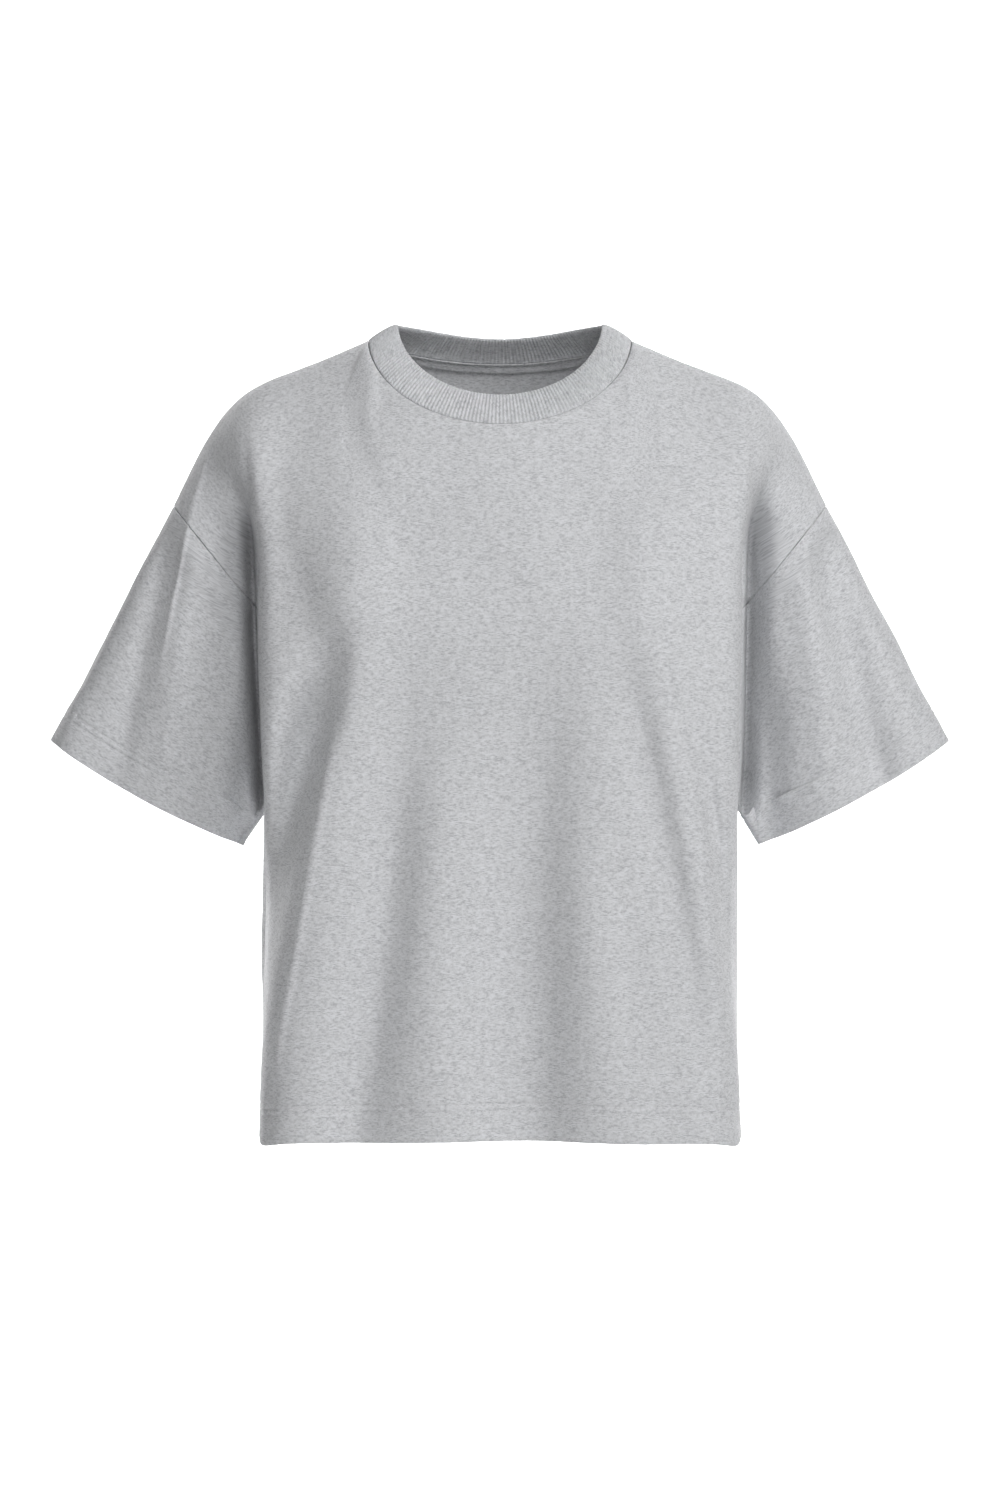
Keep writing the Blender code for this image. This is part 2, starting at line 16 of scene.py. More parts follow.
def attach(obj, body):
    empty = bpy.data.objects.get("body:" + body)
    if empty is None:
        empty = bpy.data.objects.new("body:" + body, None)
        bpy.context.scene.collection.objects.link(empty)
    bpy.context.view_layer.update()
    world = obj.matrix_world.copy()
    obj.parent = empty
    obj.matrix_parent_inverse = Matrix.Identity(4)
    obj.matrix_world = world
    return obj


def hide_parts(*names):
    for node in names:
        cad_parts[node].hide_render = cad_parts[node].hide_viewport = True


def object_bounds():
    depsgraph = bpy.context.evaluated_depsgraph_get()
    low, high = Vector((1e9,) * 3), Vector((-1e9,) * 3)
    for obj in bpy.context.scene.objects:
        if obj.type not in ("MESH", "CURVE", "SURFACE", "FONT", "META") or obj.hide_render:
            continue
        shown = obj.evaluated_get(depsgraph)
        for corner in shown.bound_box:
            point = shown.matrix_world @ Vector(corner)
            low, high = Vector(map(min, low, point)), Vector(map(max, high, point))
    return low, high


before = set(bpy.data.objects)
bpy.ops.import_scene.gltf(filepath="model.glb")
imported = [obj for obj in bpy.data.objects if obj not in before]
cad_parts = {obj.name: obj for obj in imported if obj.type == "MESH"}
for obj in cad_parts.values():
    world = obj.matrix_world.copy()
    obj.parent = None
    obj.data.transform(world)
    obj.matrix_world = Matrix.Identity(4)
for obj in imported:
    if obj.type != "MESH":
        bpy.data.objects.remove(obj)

CAD_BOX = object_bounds()

bl_info = {
    "name": "Crew neck t-shirt",
    "version": (1, 0, 0),
    "blender": (4, 5, 0),
    "location": "3D View > Sidebar > Shirt",
    "description": "Builds a filled-out crew neck t-shirt in heather jersey, piece by piece",
    "category": "Mesh",
}

MM = 0.001
NO_LENGTH = 1e-12

# The neckline, where the panels meet the neckband, and the neckband's folded upper edge, both as rings with
# their place at the side, the front and the back as (y, height).
NECK_HALF_WIDTH = 99.0 * MM
NECK_SIDE_Y = 4.0 * MM
NECK_FRONT = (-78.0 * MM, -66.0 * MM)
NECK_BACK = (67.0 * MM, -12.0 * MM)
BAND_HALF_WIDTH = 77.0 * MM
BAND_SIDE = (-2.0 * MM, 12.5 * MM)
BAND_FRONT = (-60.0 * MM, -43.0 * MM)
BAND_BACK = (50.0 * MM, 5.0 * MM)
NECK_PEAK = 0.06
NECK_DIP = (1.0, 2.2)
BAND_DIP = (1.0, 3.6)
NECK_REACH = (0.65, 0.9)

# The ribs of the neckband, each as so many columns of points. A real rib repeats about every 2 mm, too fine
# to show well, so they are drawn coarser than real.
RIB_COUNT = 200
RIB_COLUMNS = 6
RIB_PITCH = 2.4 * MM
# RIB_SHADE is the most that the rib's colour is darkened towards the channel colour: painted shade in the
# channels between the ribs.
RIB_SHADE = 0.2
RIB_ROUNDNESS = 0.8

# Stations across half a panel, from the centre line, 0: the neck ends at 1, and the seams lie at SEAM. The
# corner stations are where a level turns from the front or back to the side.
CENTRE_STATIONS = (0, 0.35, 0.7, 1)
FLANK = 1.45
CORNER_STATIONS = (1.83, 1.95)
EDGE = 1.87
TUCK = 2.25
SEAM = 2.65
BEYOND_SEAM = (3.0, 3.4)
SEAM_PULL_WIDTH = 0.4

# Stations down a panel and along a sleeve for the cloth past their first edge, and where one eases into the
# other, as a start and a width.
ABOVE_TOP = -0.18
BAND_BLEND = (0.6, 0.4)
BODY_ALONG = (-0.4, -0.2)
SIDE_SEAM_BELOW = (1.30, 1.12)
UNDERARM_BLEND = (0.75, 0.25)

UNDERARM = -256.0 * MM
SAME_POINT = 1e-6

# The shoulder seam, from the neck to the top of the sleeve, in millimetres.
SHOULDER_COLUMNS = ("station", "across", "y", "height")
SHOULDER = (
    (1.00, 99, 4, 0),
    (1.45, 147, 6, -20),
    (1.87, 192, 6, -41),
    (2.25, 217, 6, -69),
    (2.65, 245, 8, -124),
)

# Levels of the body below the shoulder seam, in millimetres. Share runs from the top edge, 0, to the
# underarm level, 1. Armhole is the share of the way round the armhole's front or back half. Rise lifts the
# level towards the centre, before the sag takes most of it back.
LEVEL_COLUMNS = ("share", "height", "armhole", "seam_across", "seam_y", "rise")
LEVELS = (
    (0.180, -256, 0.22, 0, 0, 0),
    (0.455, -256, 0.42, 0, 0, 0),
    (0.790, -256, 0.75, 0, 0, 0),
    (1.000, -256, 1.00, 137, 5, 0),
    (1.000, -310, 1.00, 148, 5, 0),
    (1.000, -385, 1.00, 160, 5, 1),
    (1.000, -475, 1.00, 172, 4, 3),
    (1.000, -540, 1.00, 178, 4, 4),
    (1.000, -594.3, 1.00, 180, 4, 5),
)
UNDERARM_LEVEL = 3

# The cloth hangs lower inside the hem's corners. SAG_SHARE of the rise comes off from the centre out to
# station SAG_FROM, and less and less over the next SAG_WIDTH.
SAG_SHARE = 0.85
SAG_FROM = 1.4
SAG_WIDTH = 0.43

# Where the front and the back pass through each level, in millimetres: out is the distance from the middle
# plane, and across is the distance from the centre line. Each row holds the centre's out, and then the
# across and the out of the crown, the flank, the edge, the corner and the tuck.
FRONT_SECTIONS = (
    (91, 116, 50, 157, 50, 187, 57, 196, 52, 207, 36),
    (109, 111, 93, 150, 88, 177, 80, 181, 70, 184, 34),
    (128, 105, 134, 147, 118, 173, 100, 178, 88, 168, 44),
    (130, 109, 137, 149, 122, 173, 104, 177, 92, 156, 38),
    (129, 118, 136, 151, 121, 171, 104, 175, 90, 158, 34),
    (127, 134, 135, 160, 119, 171, 96, 174, 80, 166, 32),
    (126, 150, 131, 168, 114, 173, 90, 175, 72, 172, 31),
    (126, 160, 127, 172, 112, 176, 86, 177, 66, 177, 30),
    (126, 164, 122, 174, 108, 177, 84, 179, 64, 179, 30),
)
BACK_SECTIONS = (
    (86, 116, 53, 157, 49, 188, 53, 197, 50, 210, 44),
    (100, 111, 91, 153, 80, 180, 73, 185, 66, 186, 50),
    (105, 108, 107, 153, 92, 180, 82, 184, 74, 172, 54),
    (103, 112, 108, 156, 95, 179, 84, 183, 74, 160, 44),
    (101, 118, 106, 160, 95, 178, 78, 181, 66, 162, 38),
    (99, 128, 106, 166, 94, 178, 72, 180, 58, 170, 35),
    (104, 140, 112, 171, 97, 178, 66, 180, 52, 176, 32),
    (110, 148, 117, 173, 98, 179, 62, 180, 48, 179, 30),
    (115, 152, 120, 174, 99, 179, 60, 180, 46, 180, 30),
)

# Sections of the sleeve, from the armhole to the cuff, in millimetres. Each row holds along, top_across,
# top_height, under_across, under_height, middle_y, front_out, back_out, squareness, taper and sag.
SLEEVE_SECTIONS = (
    (0.00, 245, -124, 137, -256, 7, 60, 56, 2.6, 0.50, 0),
    (0.12, 256, -145, 143, -270, 6, 57, 54, 2.6, 0.42, 0),
    (0.40, 281, -194, 156, -304, 4, 53, 50, 2.4, 0.20, 2),
    (0.70, 309, -248, 172, -341, 2, 45, 43, 2.2, 0.05, 4),
    (1.00, 337, -300, 194, -378, 0, 36, 35, 2.1, 0.00, 5),
)

# Folds, in millimetres, as seen from the front. Each row holds from_across, from_height, to_across,
# to_height, bow, less, more, depth, fade_in and fade_out. Depth is inwards, so a ridge has a negative one.
# Less and more are its half widths towards lower and higher across. Fade is the share of its length over
# which each end dies away.
FRONT_FOLDS = (
    (-114, -200, -215, -600, -2, 18, 13, 33, 0.26, 0.22),
    (-70, -218, -112, -616, 9, 24, 19, 12, 0.50, 0.00),
    (-157, -369, -176, -650, -6, 22, 36, 5, 0.30, 0.00),
    (30, -190, 31, -638, 0, 30, 23, 13, 0.40, 0.00),
    (7, -266, 4, -641, -7, 21, 26, 6, 0.40, 0.00),
    (83, -197, 169, -613, 1, 20, 14, 10, 0.30, 0.28),
    (142, -267, 176, -621, 8, 10, 6, 11, 0.35, 0.20),
    (53, -297, 105, -626, -13, 46, 32, -14, 0.41, 0.00),
    (-34, -275, -45, -640, -7, 36, 28, -11, 0.37, 0.00),
    (15, -70, 15, -418, 9, 85, 63, -7, 0.30, 0.40),
    (-174, -65, -121, -262, -9, 24, 18, 5, 0.30, 0.30),
    (-181, -70, -171, -410, 0, 3, 14, -4, 0.25, 0.20),
    (182, -90, 175, -400, 0, 12, 5, -3, 0.25, 0.20),
    (156, -81, 127, -187, -7, 16, 16, -3, 0.40, 0.50),
    (-118.5, -280, -172, -575, 0, 3.0, 3.6, -3.0, 0.12, 0.20),
    (-165, -520, -173, -631, -1, 4, 4, 2, 0.34, 0.00),
)
BACK_FOLDS = (
    (-70, -250, -92, -650, -6, 26, 22, 10, 0.45, 0.00),
    (58, -230, 74, -650, 6, 20, 26, 9, 0.50, 0.00),
    (-6, -200, 10, -650, 8, 28, 28, 6, 0.55, 0.00),
    (-132, -250, -150, -600, 6, 22, 16, 8, 0.40, 0.10),
    (138, -240, 152, -600, -6, 16, 22, 7, 0.40, 0.15),
    (-40, -420, -46, -640, 3, 9, 9, 1.8, 0.50, 0.00),
    (96, -380, 110, -640, -3, 10, 10, 2.0, 0.50, 0.00),
    (-104, -120, -70, -240, 6, 16, 16, 2.2, 0.50, 0.50),
    (110, -110, 84, -230, -6, 16, 16, 2.6, 0.50, 0.50),
)
LEFT_SLEEVE_FOLDS = (
    (234, -112, 306, -410, -3, 15, 15, 12, 0.20, 0.35),
    (216, -110, 250, -410, 4, 14, 14, -5, 0.22, 0.40),
)
RIGHT_SLEEVE_FOLDS = ((-216, -100, -257, -410, -4, 13, 13, -5, 0.22, 0.40),)

# Folds that cross the seam between a sleeve and the front. They move both in the same way.
CROSSING_FOLDS = (
    (-188, -58, -184, -300, 0, 13, 2.2, 8, 0.45, 0.45),
    (-187, -100, -177.5, -372, 0, 5.5, 2.0, 38, 0.40, 0.15),
    (-184, -240, -198, -440, 0, 13, 9, 15, 0.40, 0.00),
    (196, -210, 208, -440, 0, 9, 13, 13, 0.40, 0.00),
    (188, -64, 182, -372, 0, 2.6, 10.5, 34, 0.44, 0.15),
    (-234, -88, -296, -380, 0, 11, 9, 5, 0.20, 0.40),
    (-213, -62, -256, -270, -3, 2.4, 2.4, -2.4, 0.18, 0.45),
    (-257, -96, -341, -345, 0, 6, 22, -7, 0.30, 0.05),
)

# How folds end. They take the cloth at most FOLD_ROOM of the way to the middle plane, die away near the
# panels' edges, and stay on the front of the sleeves, all in metres. A fold without a fade ends within
# SHARP_FADE.
FOLD_ROOM = 0.7
CALM_BY_SEAM = 20.0 * MM
CALM_BY_SIDE = 11.0 * MM
FRONT_FACE_EDGE = 5.0 * MM
FRONT_FACE_BLEND = 20.0 * MM
SHARP_FADE = 1e-3

# Unevenness of worn cloth and the pucker along its seams, as the size of the lumps and how far they stand,
# in millimetres. Lumps on the panels are drawn out along their height.
PANEL_SOFT = (45, 0.9)
PANEL_FINE = (14, 0.18)
SOFT_STRETCH = (1, 1, 0.55)
FINE_STRETCH = (1, 1, 0.7)
SLEEVE_SOFT = (40, 0.8)
SLEEVE_FINE = (13, 0.16)
PUCKER = (7, 0.22)
PUCKER_REACH = 8.0 * MM
PUCKER_FROM = 1.5 * MM
FINE_FROM = 4.0 * MM
FLAT_BY_NECK = 6.0 * MM
NOISE_GAIN = 1.6
NOISE_SKEW = 0.7

# Seeds of the soft lumps, the fine lumps and the pucker. The front's and the right sleeve's are one lower,
# and the back's and the left sleeve's one higher.
PANEL_SEEDS = (3, 9, 21)
SLEEVE_SEEDS = (5, 12, 31)

# The courses of a panel are level, and past COURSE_RISE_FROM they rise towards the shoulder point.
COURSE_RISE_FROM = 0.18
COURSE_RISE = 0.7
COURSE_EASE = 0.012

# How finely each sheet is worked out: the stations that the surface is read at, and the steps kept.
READ_DOWN = (60, 90)
PANEL_ACROSS = (40, 12, 24, 24, 28)
PANEL_DOWN = (60, 76)
SLEEVE_ROUND = (210, 70)
SLEEVE_ALONG = 64
READ_ALONG = 80
ARC_POINTS = 481
NECK_POINTS = 801
LOOP_POINTS = 6001

# Distances above a hem's edge at which the cloth has a row of points, in millimetres. The two needle lines
# are rows of their own.
NEEDLE_LINES = (27.0, 22.0)
NEEDLE_WIDTH = 0.9
HEM_ROWS = (31, 29.2, 28.1, 27, 25.9, 24.5, 23.1, 22, 20.9, 19.5, 17, 14, 11, 8, 5.5, 3.5, 2, 1.1)

# Ways an edge of cloth is turned, as (back from the edge, inwards) in millimetres.
SEAM_TURN = ((1.1, 0.04), (0.6, 0.16), (0.33, 0.4), (0.2, 0.8), (0.15, 1.6), (0.15, 4.0))
NECK_TURN = ((0.6, 0.03), (0.36, 0.12), (0.22, 0.34), (0.15, 0.75), (0.15, 1.6), (0.15, 4.0))
HEM_TURN = (
    (0.55, 0.12),
    (0.16, 0.45),
    (0.0, 1.1),
    (0.16, 1.75),
    (0.55, 2.08),
    (1.1, 2.2),
    (5.0, 2.2),
    (13.0, 2.2),
    (21.0, 2.2),
    (27.5, 2.2),
    (28.6, 2.3),
)


def columns(names, rows):
    """A table in millimetres as one array for each named column."""
    return dict(zip(names, np.array(rows, float).T))


def unit(vectors):
    return vectors / np.maximum(np.linalg.norm(vectors, axis=-1, keepdims=True), NO_LENGTH)


def smoothstep(value):
    value = np.clip(value, 0.0, 1.0)
    return value * value * (3.0 - 2.0 * value)


def steady(stations, values, at):
    """The cubic through the values that never runs past them."""
    step = np.diff(stations)
    slope = np.diff(values) / step
    agree = slope[:-1] * slope[1:] > 0
    total = np.where(agree, slope[:-1] + slope[1:], 1.0)
    inner = np.where(agree, 2.0 * slope[:-1] * slope[1:] / total, 0.0)
    tangent = np.concatenate((slope[:1], inner, slope[-1:]))
    place = np.clip(np.searchsorted(stations, at, side="right") - 1, 0, len(step) - 1)
    width = step[place]
    t = (at - stations[place]) / width
    start = values[place] * (1 + 2 * t) + tangent[place] * width * t
    end = values[place + 1] * (3 - 2 * t) - tangent[place + 1] * width * (1 - t)
    return start * (1 - t) ** 2 + end * t**2


def spline(knots, points, at):
    """The natural cubic spline through the points, one point a row."""
    count = len(knots)
    step = np.diff(knots)
    system = np.eye(count)
    bend = np.zeros_like(points)
    for i in range(1, count - 1):
        system[i, i - 1 : i + 2] = (step[i - 1], 2 * (step[i - 1] + step[i]), step[i])
        ahead = (points[i + 1] - points[i]) / step[i]
        behind = (points[i] - points[i - 1]) / step[i - 1]
        bend[i] = 6 * (ahead - behind)
    curve = np.linalg.solve(system, bend)
    place = np.clip(np.searchsorted(knots, at, side="right") - 1, 0, count - 2)
    width = step[place][:, None]
    b = ((at - knots[place]) / step[place])[:, None]
    a = 1 - b
    straight = a * points[place] + b * points[place + 1]
    bent = (a**3 - a) * curve[place] + (b**3 - b) * curve[place + 1]
    return straight + bent * width**2 / 6


def thread(points, stations, at):
    """The smooth curve through points that lie at the stations, read at other stations."""
    chord = np.linalg.norm(np.diff(points, axis=0), axis=1)
    knots = np.concatenate(([0.0], np.cumsum(chord)))
    return spline(knots, points, steady(stations, knots, at))


def run_of(points):
    """How far each point of a curve lies along it."""
    return np.concatenate(([0.0], np.cumsum(np.linalg.norm(np.diff(points, axis=0), axis=1))))


def read_curve(points, distances):
    """Points at distances along a curve."""
    run = run_of(points)
    return np.stack([np.interp(distances, run, points[:, i]) for i in range(3)], axis=-1)


def even_turns(line, turns, count):
    """So many turns from the first to the last of those given, evenly apart along the line."""
    run = run_of(line(turns))
    return np.interp(np.linspace(0, run[-1], count), run, turns)


def spaced(counts, stations):
    """Stations with so many steps between each pair of main ones."""
    steps = [np.linspace(a, b, n + 1)[:-1] for a, b, n in zip(stations, stations[1:], counts)]
    return np.append(np.concatenate(steps), stations[-1])


# ---------------------------------------------------------------- the neckline and the seams


def ring(half_width, side, far, dip, reach, turn):
    """A neckline, at turns in quarters round from the shoulder, 0, to the centre of the front or back, 1."""
    swing = np.sin(turn * math.pi / 2)
    rise = (np.hypot(swing, NECK_PEAK) - NECK_PEAK) / (math.hypot(1, NECK_PEAK) - NECK_PEAK)
    x = half_width * np.cos(turn * math.pi / 2)
    y = side[0] + (far[0] - side[0]) * swing**reach
    z = side[1] + (far[1] - side[1]) * rise**dip
    return np.stack((x, y, z), axis=-1)


def neck_seam(facing, turn):
    i = 0 if facing < 0 else 1
    far = (NECK_FRONT, NECK_BACK)[i]
    return ring(NECK_HALF_WIDTH, (NECK_SIDE_Y, 0.0), far, NECK_DIP[i], NECK_REACH[i], turn)


def band_edge(facing, turn):
    i = 0 if facing < 0 else 1
    far = (BAND_FRONT, BAND_BACK)[i]
    return ring(BAND_HALF_WIDTH, BAND_SIDE, far, BAND_DIP[i], NECK_REACH[i], turn)


def sleeve_half(section, facing, shares):
    """The front or back half of a section of the left sleeve, at shares of its length down from the top."""
    _, top_x, top_z, under_x, under_z, middle, front, back, squareness, taper, sag = section
    angle = np.linspace(0, math.pi, ARC_POINTS)
    sway = np.sign(np.cos(angle)) * np.abs(np.cos(angle)) ** (2 / squareness)
    down = (1 - sway) / 2
    out = np.sin(angle) ** (2 / squareness) * (1 - taper * down**2)
    depth = front if facing < 0 else back
    chord = math.hypot(under_x - top_x, under_z - top_z)
    droop = sag * np.sin(angle) ** 2 / chord
    x = top_x + (under_x - top_x) * down - (under_z - top_z) * droop
    y = middle + facing * depth * out
    z = top_z + (under_z - top_z) * down + (under_x - top_x) * droop
    points = np.stack((x, y, z), axis=-1) * MM
    return read_curve(points, shares * run_of(points)[-1])


def level_stations():
    level = columns(LEVEL_COLUMNS, LEVELS)
    below = 1 + (level["height"] * MM - UNDERARM) / UNDERARM
    return np.where(level["share"] < 1, level["share"], below)


def armhole_share(down):
    level = columns(LEVEL_COLUMNS, LEVELS[: UNDERARM_LEVEL + 1])
    stations = np.concatenate(([0.0], level["share"]))
    return steady(stations, np.concatenate(([0.0], level["armhole"])), np.clip(down, 0, 1))


def shoulder_seam(at):
    shoulder = columns(SHOULDER_COLUMNS, SHOULDER)
    beyond = sleeve_half(SLEEVE_SECTIONS[1], -1, np.array([0.0]))
    points = np.stack((shoulder["across"], shoulder["y"], shoulder["height"]), axis=-1) * MM
    stations = np.append(shoulder["station"], BEYOND_SEAM[0])
    return thread(np.concatenate((points, beyond)), stations, at)


def top_edge(facing, at):
    """The upper edge of half a panel: the neck seam to station 1, then the shoulder seam."""
    neck = neck_seam(facing, 1 - np.minimum(at, 1))
    return np.where((at <= 1)[:, None], neck, shoulder_seam(np.maximum(at, 1)))


def side_edge(facing, at):
    """The outer edge of half a panel: the armhole down to station 1, then the side seam."""
    level = columns(LEVEL_COLUMNS, LEVELS[UNDERARM_LEVEL:])
    points = np.stack((level["seam_across"], level["seam_y"], level["height"]), axis=-1) * MM
    seam = thread(points, level_stations()[UNDERARM_LEVEL:], np.maximum(at, 1))
    armhole = sleeve_half(SLEEVE_SECTIONS[0], facing, armhole_share(at))
    return np.where((at <= 1)[:, None], armhole, seam)


# ---------------------------------------------------------------- the surface of each panel


def level_row(facing, index, at):
    """The curve in which half a panel passes through one level, from the centre line to the side."""
    share, height, armhole, seam_x, seam_y, rise = LEVELS[index]
    here = FRONT_SECTIONS[index] if facing < 0 else BACK_SECTIONS[index]
    there = BACK_SECTIONS[index] if facing < 0 else FRONT_SECTIONS[index]
    centre, crown_x, crown_y, flank_x, flank_y, edge_x, edge_y, corner_x, corner_y, tuck_x, tuck_y = here
    inner = np.array(CENTRE_STATIONS)
    spread = inner + (np.sin(inner * math.pi / 2) - inner) * (1 - share) ** 1.5
    across = np.append(crown_x * spread, (flank_x, edge_x, corner_x, tuck_x))
    out = np.append(centre + (crown_y - centre) * inner**2, (flank_y, edge_y, corner_y, tuck_y))
    stations = np.concatenate((inner, (FLANK, *CORNER_STATIONS, TUCK)))
    top = top_edge(facing, stations)[:, 2] / MM
    sag = SAG_SHARE * (1 - smoothstep((stations - SAG_FROM) / SAG_WIDTH))
    lifted = 1 - smoothstep(stations / EDGE) - sag
    tall = top * (1 - share) + height * share + rise * lifted
    points = np.stack((across, facing * out, tall), axis=-1) * MM
    if share < 1:
        sections = SLEEVE_SECTIONS[:3]
        outside = np.concatenate([sleeve_half(row, facing, np.array([armhole])) for row in sections])
    else:
        near = (there[9], -facing * there[10], height)
        far = (there[7], -facing * there[8], height)
        outside = np.array([(seam_x, seam_y, height), near, far]) * MM
    mirrored = points[2:0:-1] * (-1, 1, 1)
    points = np.concatenate((mirrored, points, outside))
    stations = np.concatenate((-stations[2:0:-1], stations, (SEAM, *BEYOND_SEAM)))
    return thread(points, stations, at)


def half_panel(facing, across, down):
    """The right-hand half of the front or back as a grid of points, with a row for each station down."""
    top = top_edge(facing, across)
    rows = [level_row(facing, i, across) for i in range(len(LEVELS))]
    over = level_row(-facing, 0, across)
    band = band_edge(facing, 1 - np.minimum(across, 1))
    blend = smoothstep((across - BAND_BLEND[0]) / BAND_BLEND[1])[:, None]
    before = band + (over - band) * blend
    knots = np.stack([before, top, *rows])
    stations = np.concatenate(([ABOVE_TOP, 0.0], level_stations()))
    grid = np.stack([thread(knots[:, j], stations, down) for j in range(len(across))], axis=1)
    edge = thread(np.stack([row[-1] for row in knots]), stations, down)
    pull = (side_edge(facing, down) - edge)[:, None, :]
    return grid + pull * smoothstep((across - TUCK) / SEAM_PULL_WIDTH)[None, :, None]


def half_sleeve(facing, down, along):
    """The front or back half of the left sleeve: rows run along it, and columns from top to underarm."""
    shares = armhole_share(down)
    stations = np.array([*BODY_ALONG, *(row[0] for row in SLEEVE_SECTIONS)])
    body = half_panel(facing, np.array([EDGE, TUCK, SEAM]), down)[:, :2]
    under = side_edge(facing, np.array(SIDE_SEAM_BELOW))
    blend = smoothstep((down - UNDERARM_BLEND[0]) / UNDERARM_BLEND[1])
    body = body + (under - body) * blend[:, None, None]
    rings = [sleeve_half(section, facing, shares) for section in SLEEVE_SECTIONS]
    knots = np.stack([body[:, 0], body[:, 1], *rings])
    return np.stack([thread(knots[:, j], stations, along) for j in range(len(down))], axis=1)


def fold_shift(points, folds):
    """How far each fold pushes each point inwards."""
    shift = np.zeros(points.shape[:-1])
    for x0, z0, x1, z1, bow, less, more, depth, fade_in, fade_out in folds:
        start = np.array((x0, z0)) * MM
        run = np.array((x1, z1)) * MM - start
        length = np.linalg.norm(run)
        way = points[..., (0, 2)] - start
        along = (way @ run) / length**2
        aside = (way[..., 1] * run[0] - way[..., 0] * run[1]) / length
        aside = aside - bow * MM * 4 * along * (1 - along)
        half_width = np.where(aside < 0, less, more) * MM
        fade_in, fade_out = max(fade_in, SHARP_FADE), max(fade_out, SHARP_FADE)
        fade = smoothstep(along / fade_in) * smoothstep((1 - along) / fade_out)
        shift = shift + depth * MM * np.exp(-((aside / half_width) ** 2)) * fade
    return shift


def on_front(points):
    """How far each point belongs to the front of the shirt, from 0 to 1."""
    return smoothstep((FRONT_FACE_EDGE - points[..., 1]) / FRONT_FACE_BLEND)


def crossing_shift(points):
    """How far back the folds that cross the armhole push each point of the front of the shirt."""
    return fold_shift(points, CROSSING_FOLDS) * on_front(points)


def uneven(points, lumps, seed):
    """Smooth unevenness, in lumps of the size and height given in millimetres."""
    size, height = lumps
    offset = Vector((seed, seed * NOISE_SKEW, -seed))
    flat = [noise.noise(Vector(point) / (size * MM) + offset) for point in points.reshape(-1, 3)]
    return np.array(flat).reshape(points.shape[:-1]) * NOISE_GAIN * height * MM


def seam_pucker(grid, from_seam, seed):
    """The small ripples in the cloth beside a seam."""
    near = np.exp(-((from_seam / PUCKER_REACH) ** 2))
    return uneven(grid, PUCKER, seed) * near * smoothstep(from_seam / PUCKER_FROM)


# ---------------------------------------------------------------- grids of points into cloth


def respace(grid, split, counts, tail):
    """Rows evenly apart above and below the split row, then rows at distances from each column's end."""
    tail = np.array(tail) * MM
    out = []
    for j in range(grid.shape[1]):
        run = run_of(grid[:, j])
        middle = run[split]
        lower = run[-1] - tail[0]
        parts = [np.linspace(0, middle, counts[0] + 1)[:-1]] if split else []
        parts.append(np.linspace(middle, lower, counts[1] + 1)[:-1])
        parts.append(run[-1] - tail)
        parts.append(run[-1:])
        out.append(read_curve(grid[:, j], np.concatenate(parts)))
    return np.stack(out, axis=1)


def slopes(grid, axis, closed):
    if closed and axis == 1:
        ahead = np.concatenate((grid[:, 1:], grid[:, 1:2]), axis=1)
        behind = np.concatenate((grid[:, -2:-1], grid[:, :-1]), axis=1)
        return ahead - behind
    return np.gradient(grid, axis=axis)


def outward(grid, sign, closed=False):
    """Unit normals of a grid that point out of the garment."""
    return unit(np.cross(slopes(grid, 1, closed), slopes(grid, 0, closed))) * sign


def turn_edge(sheet, turn):
    """Takes the last row of a sheet round the turn given: a seam allowance, or the fold of a hem.

    A sheet is its points and its outward normals side by side, six numbers for each place.
    """
    edge, out = sheet[-1, :, :3], sheet[-1, :, 3:]
    away = unit(sheet[-2, :, :3] - edge)
    out = unit(out - away * np.sum(out * away, axis=-1, keepdims=True))
    rows = [np.concatenate((edge + away * back * MM - out * deep * MM, out), axis=-1) for back, deep in turn]
    return np.concatenate((sheet[:-1], np.stack(rows)))


def turned(sheet, turns):
    """A sheet with its named sides taken round the turns given, one after the other."""
    for side, turn in turns:
        across = side in ("left", "right")
        back = -1 if side in ("top", "left") else 1
        view = np.swapaxes(sheet, 0, 1) if across else sheet
        view = turn_edge(view[::back], turn)[::back]
        sheet = np.swapaxes(view, 0, 1) if across else view
    return sheet


def cloth_map(grid, middle):
    """Where each point lies in the cloth, in metres: along the courses, and up from the hem."""
    along = np.linalg.norm(np.diff(grid, axis=1), axis=-1)
    u = np.concatenate((np.zeros((len(grid), 1)), np.cumsum(along, axis=1)), axis=1)
    u = u - u[:, middle : middle + 1]
    up = np.linalg.norm(np.diff(grid, axis=0), axis=-1)
    v = np.concatenate((np.zeros((1, grid.shape[1])), np.cumsum(up, axis=0)))
    return np.stack((u, v[-1] - v), axis=-1)


def panel_map(grid, middle):
    """Where each point of a panel lies in the cloth, whose courses rise towards the shoulder point."""
    lay = cloth_map(grid, middle)
    beyond = np.maximum(np.abs(grid[..., 0]) - COURSE_RISE_FROM, 0)
    lay[..., 1] = grid[..., 2] - COURSE_RISE * beyond**2 / (beyond + COURSE_EASE)
    return lay


def select_only(item):
    bpy.ops.object.select_all(action="DESELECT")
    item.select_set(True)
    bpy.context.view_layer.objects.active = item


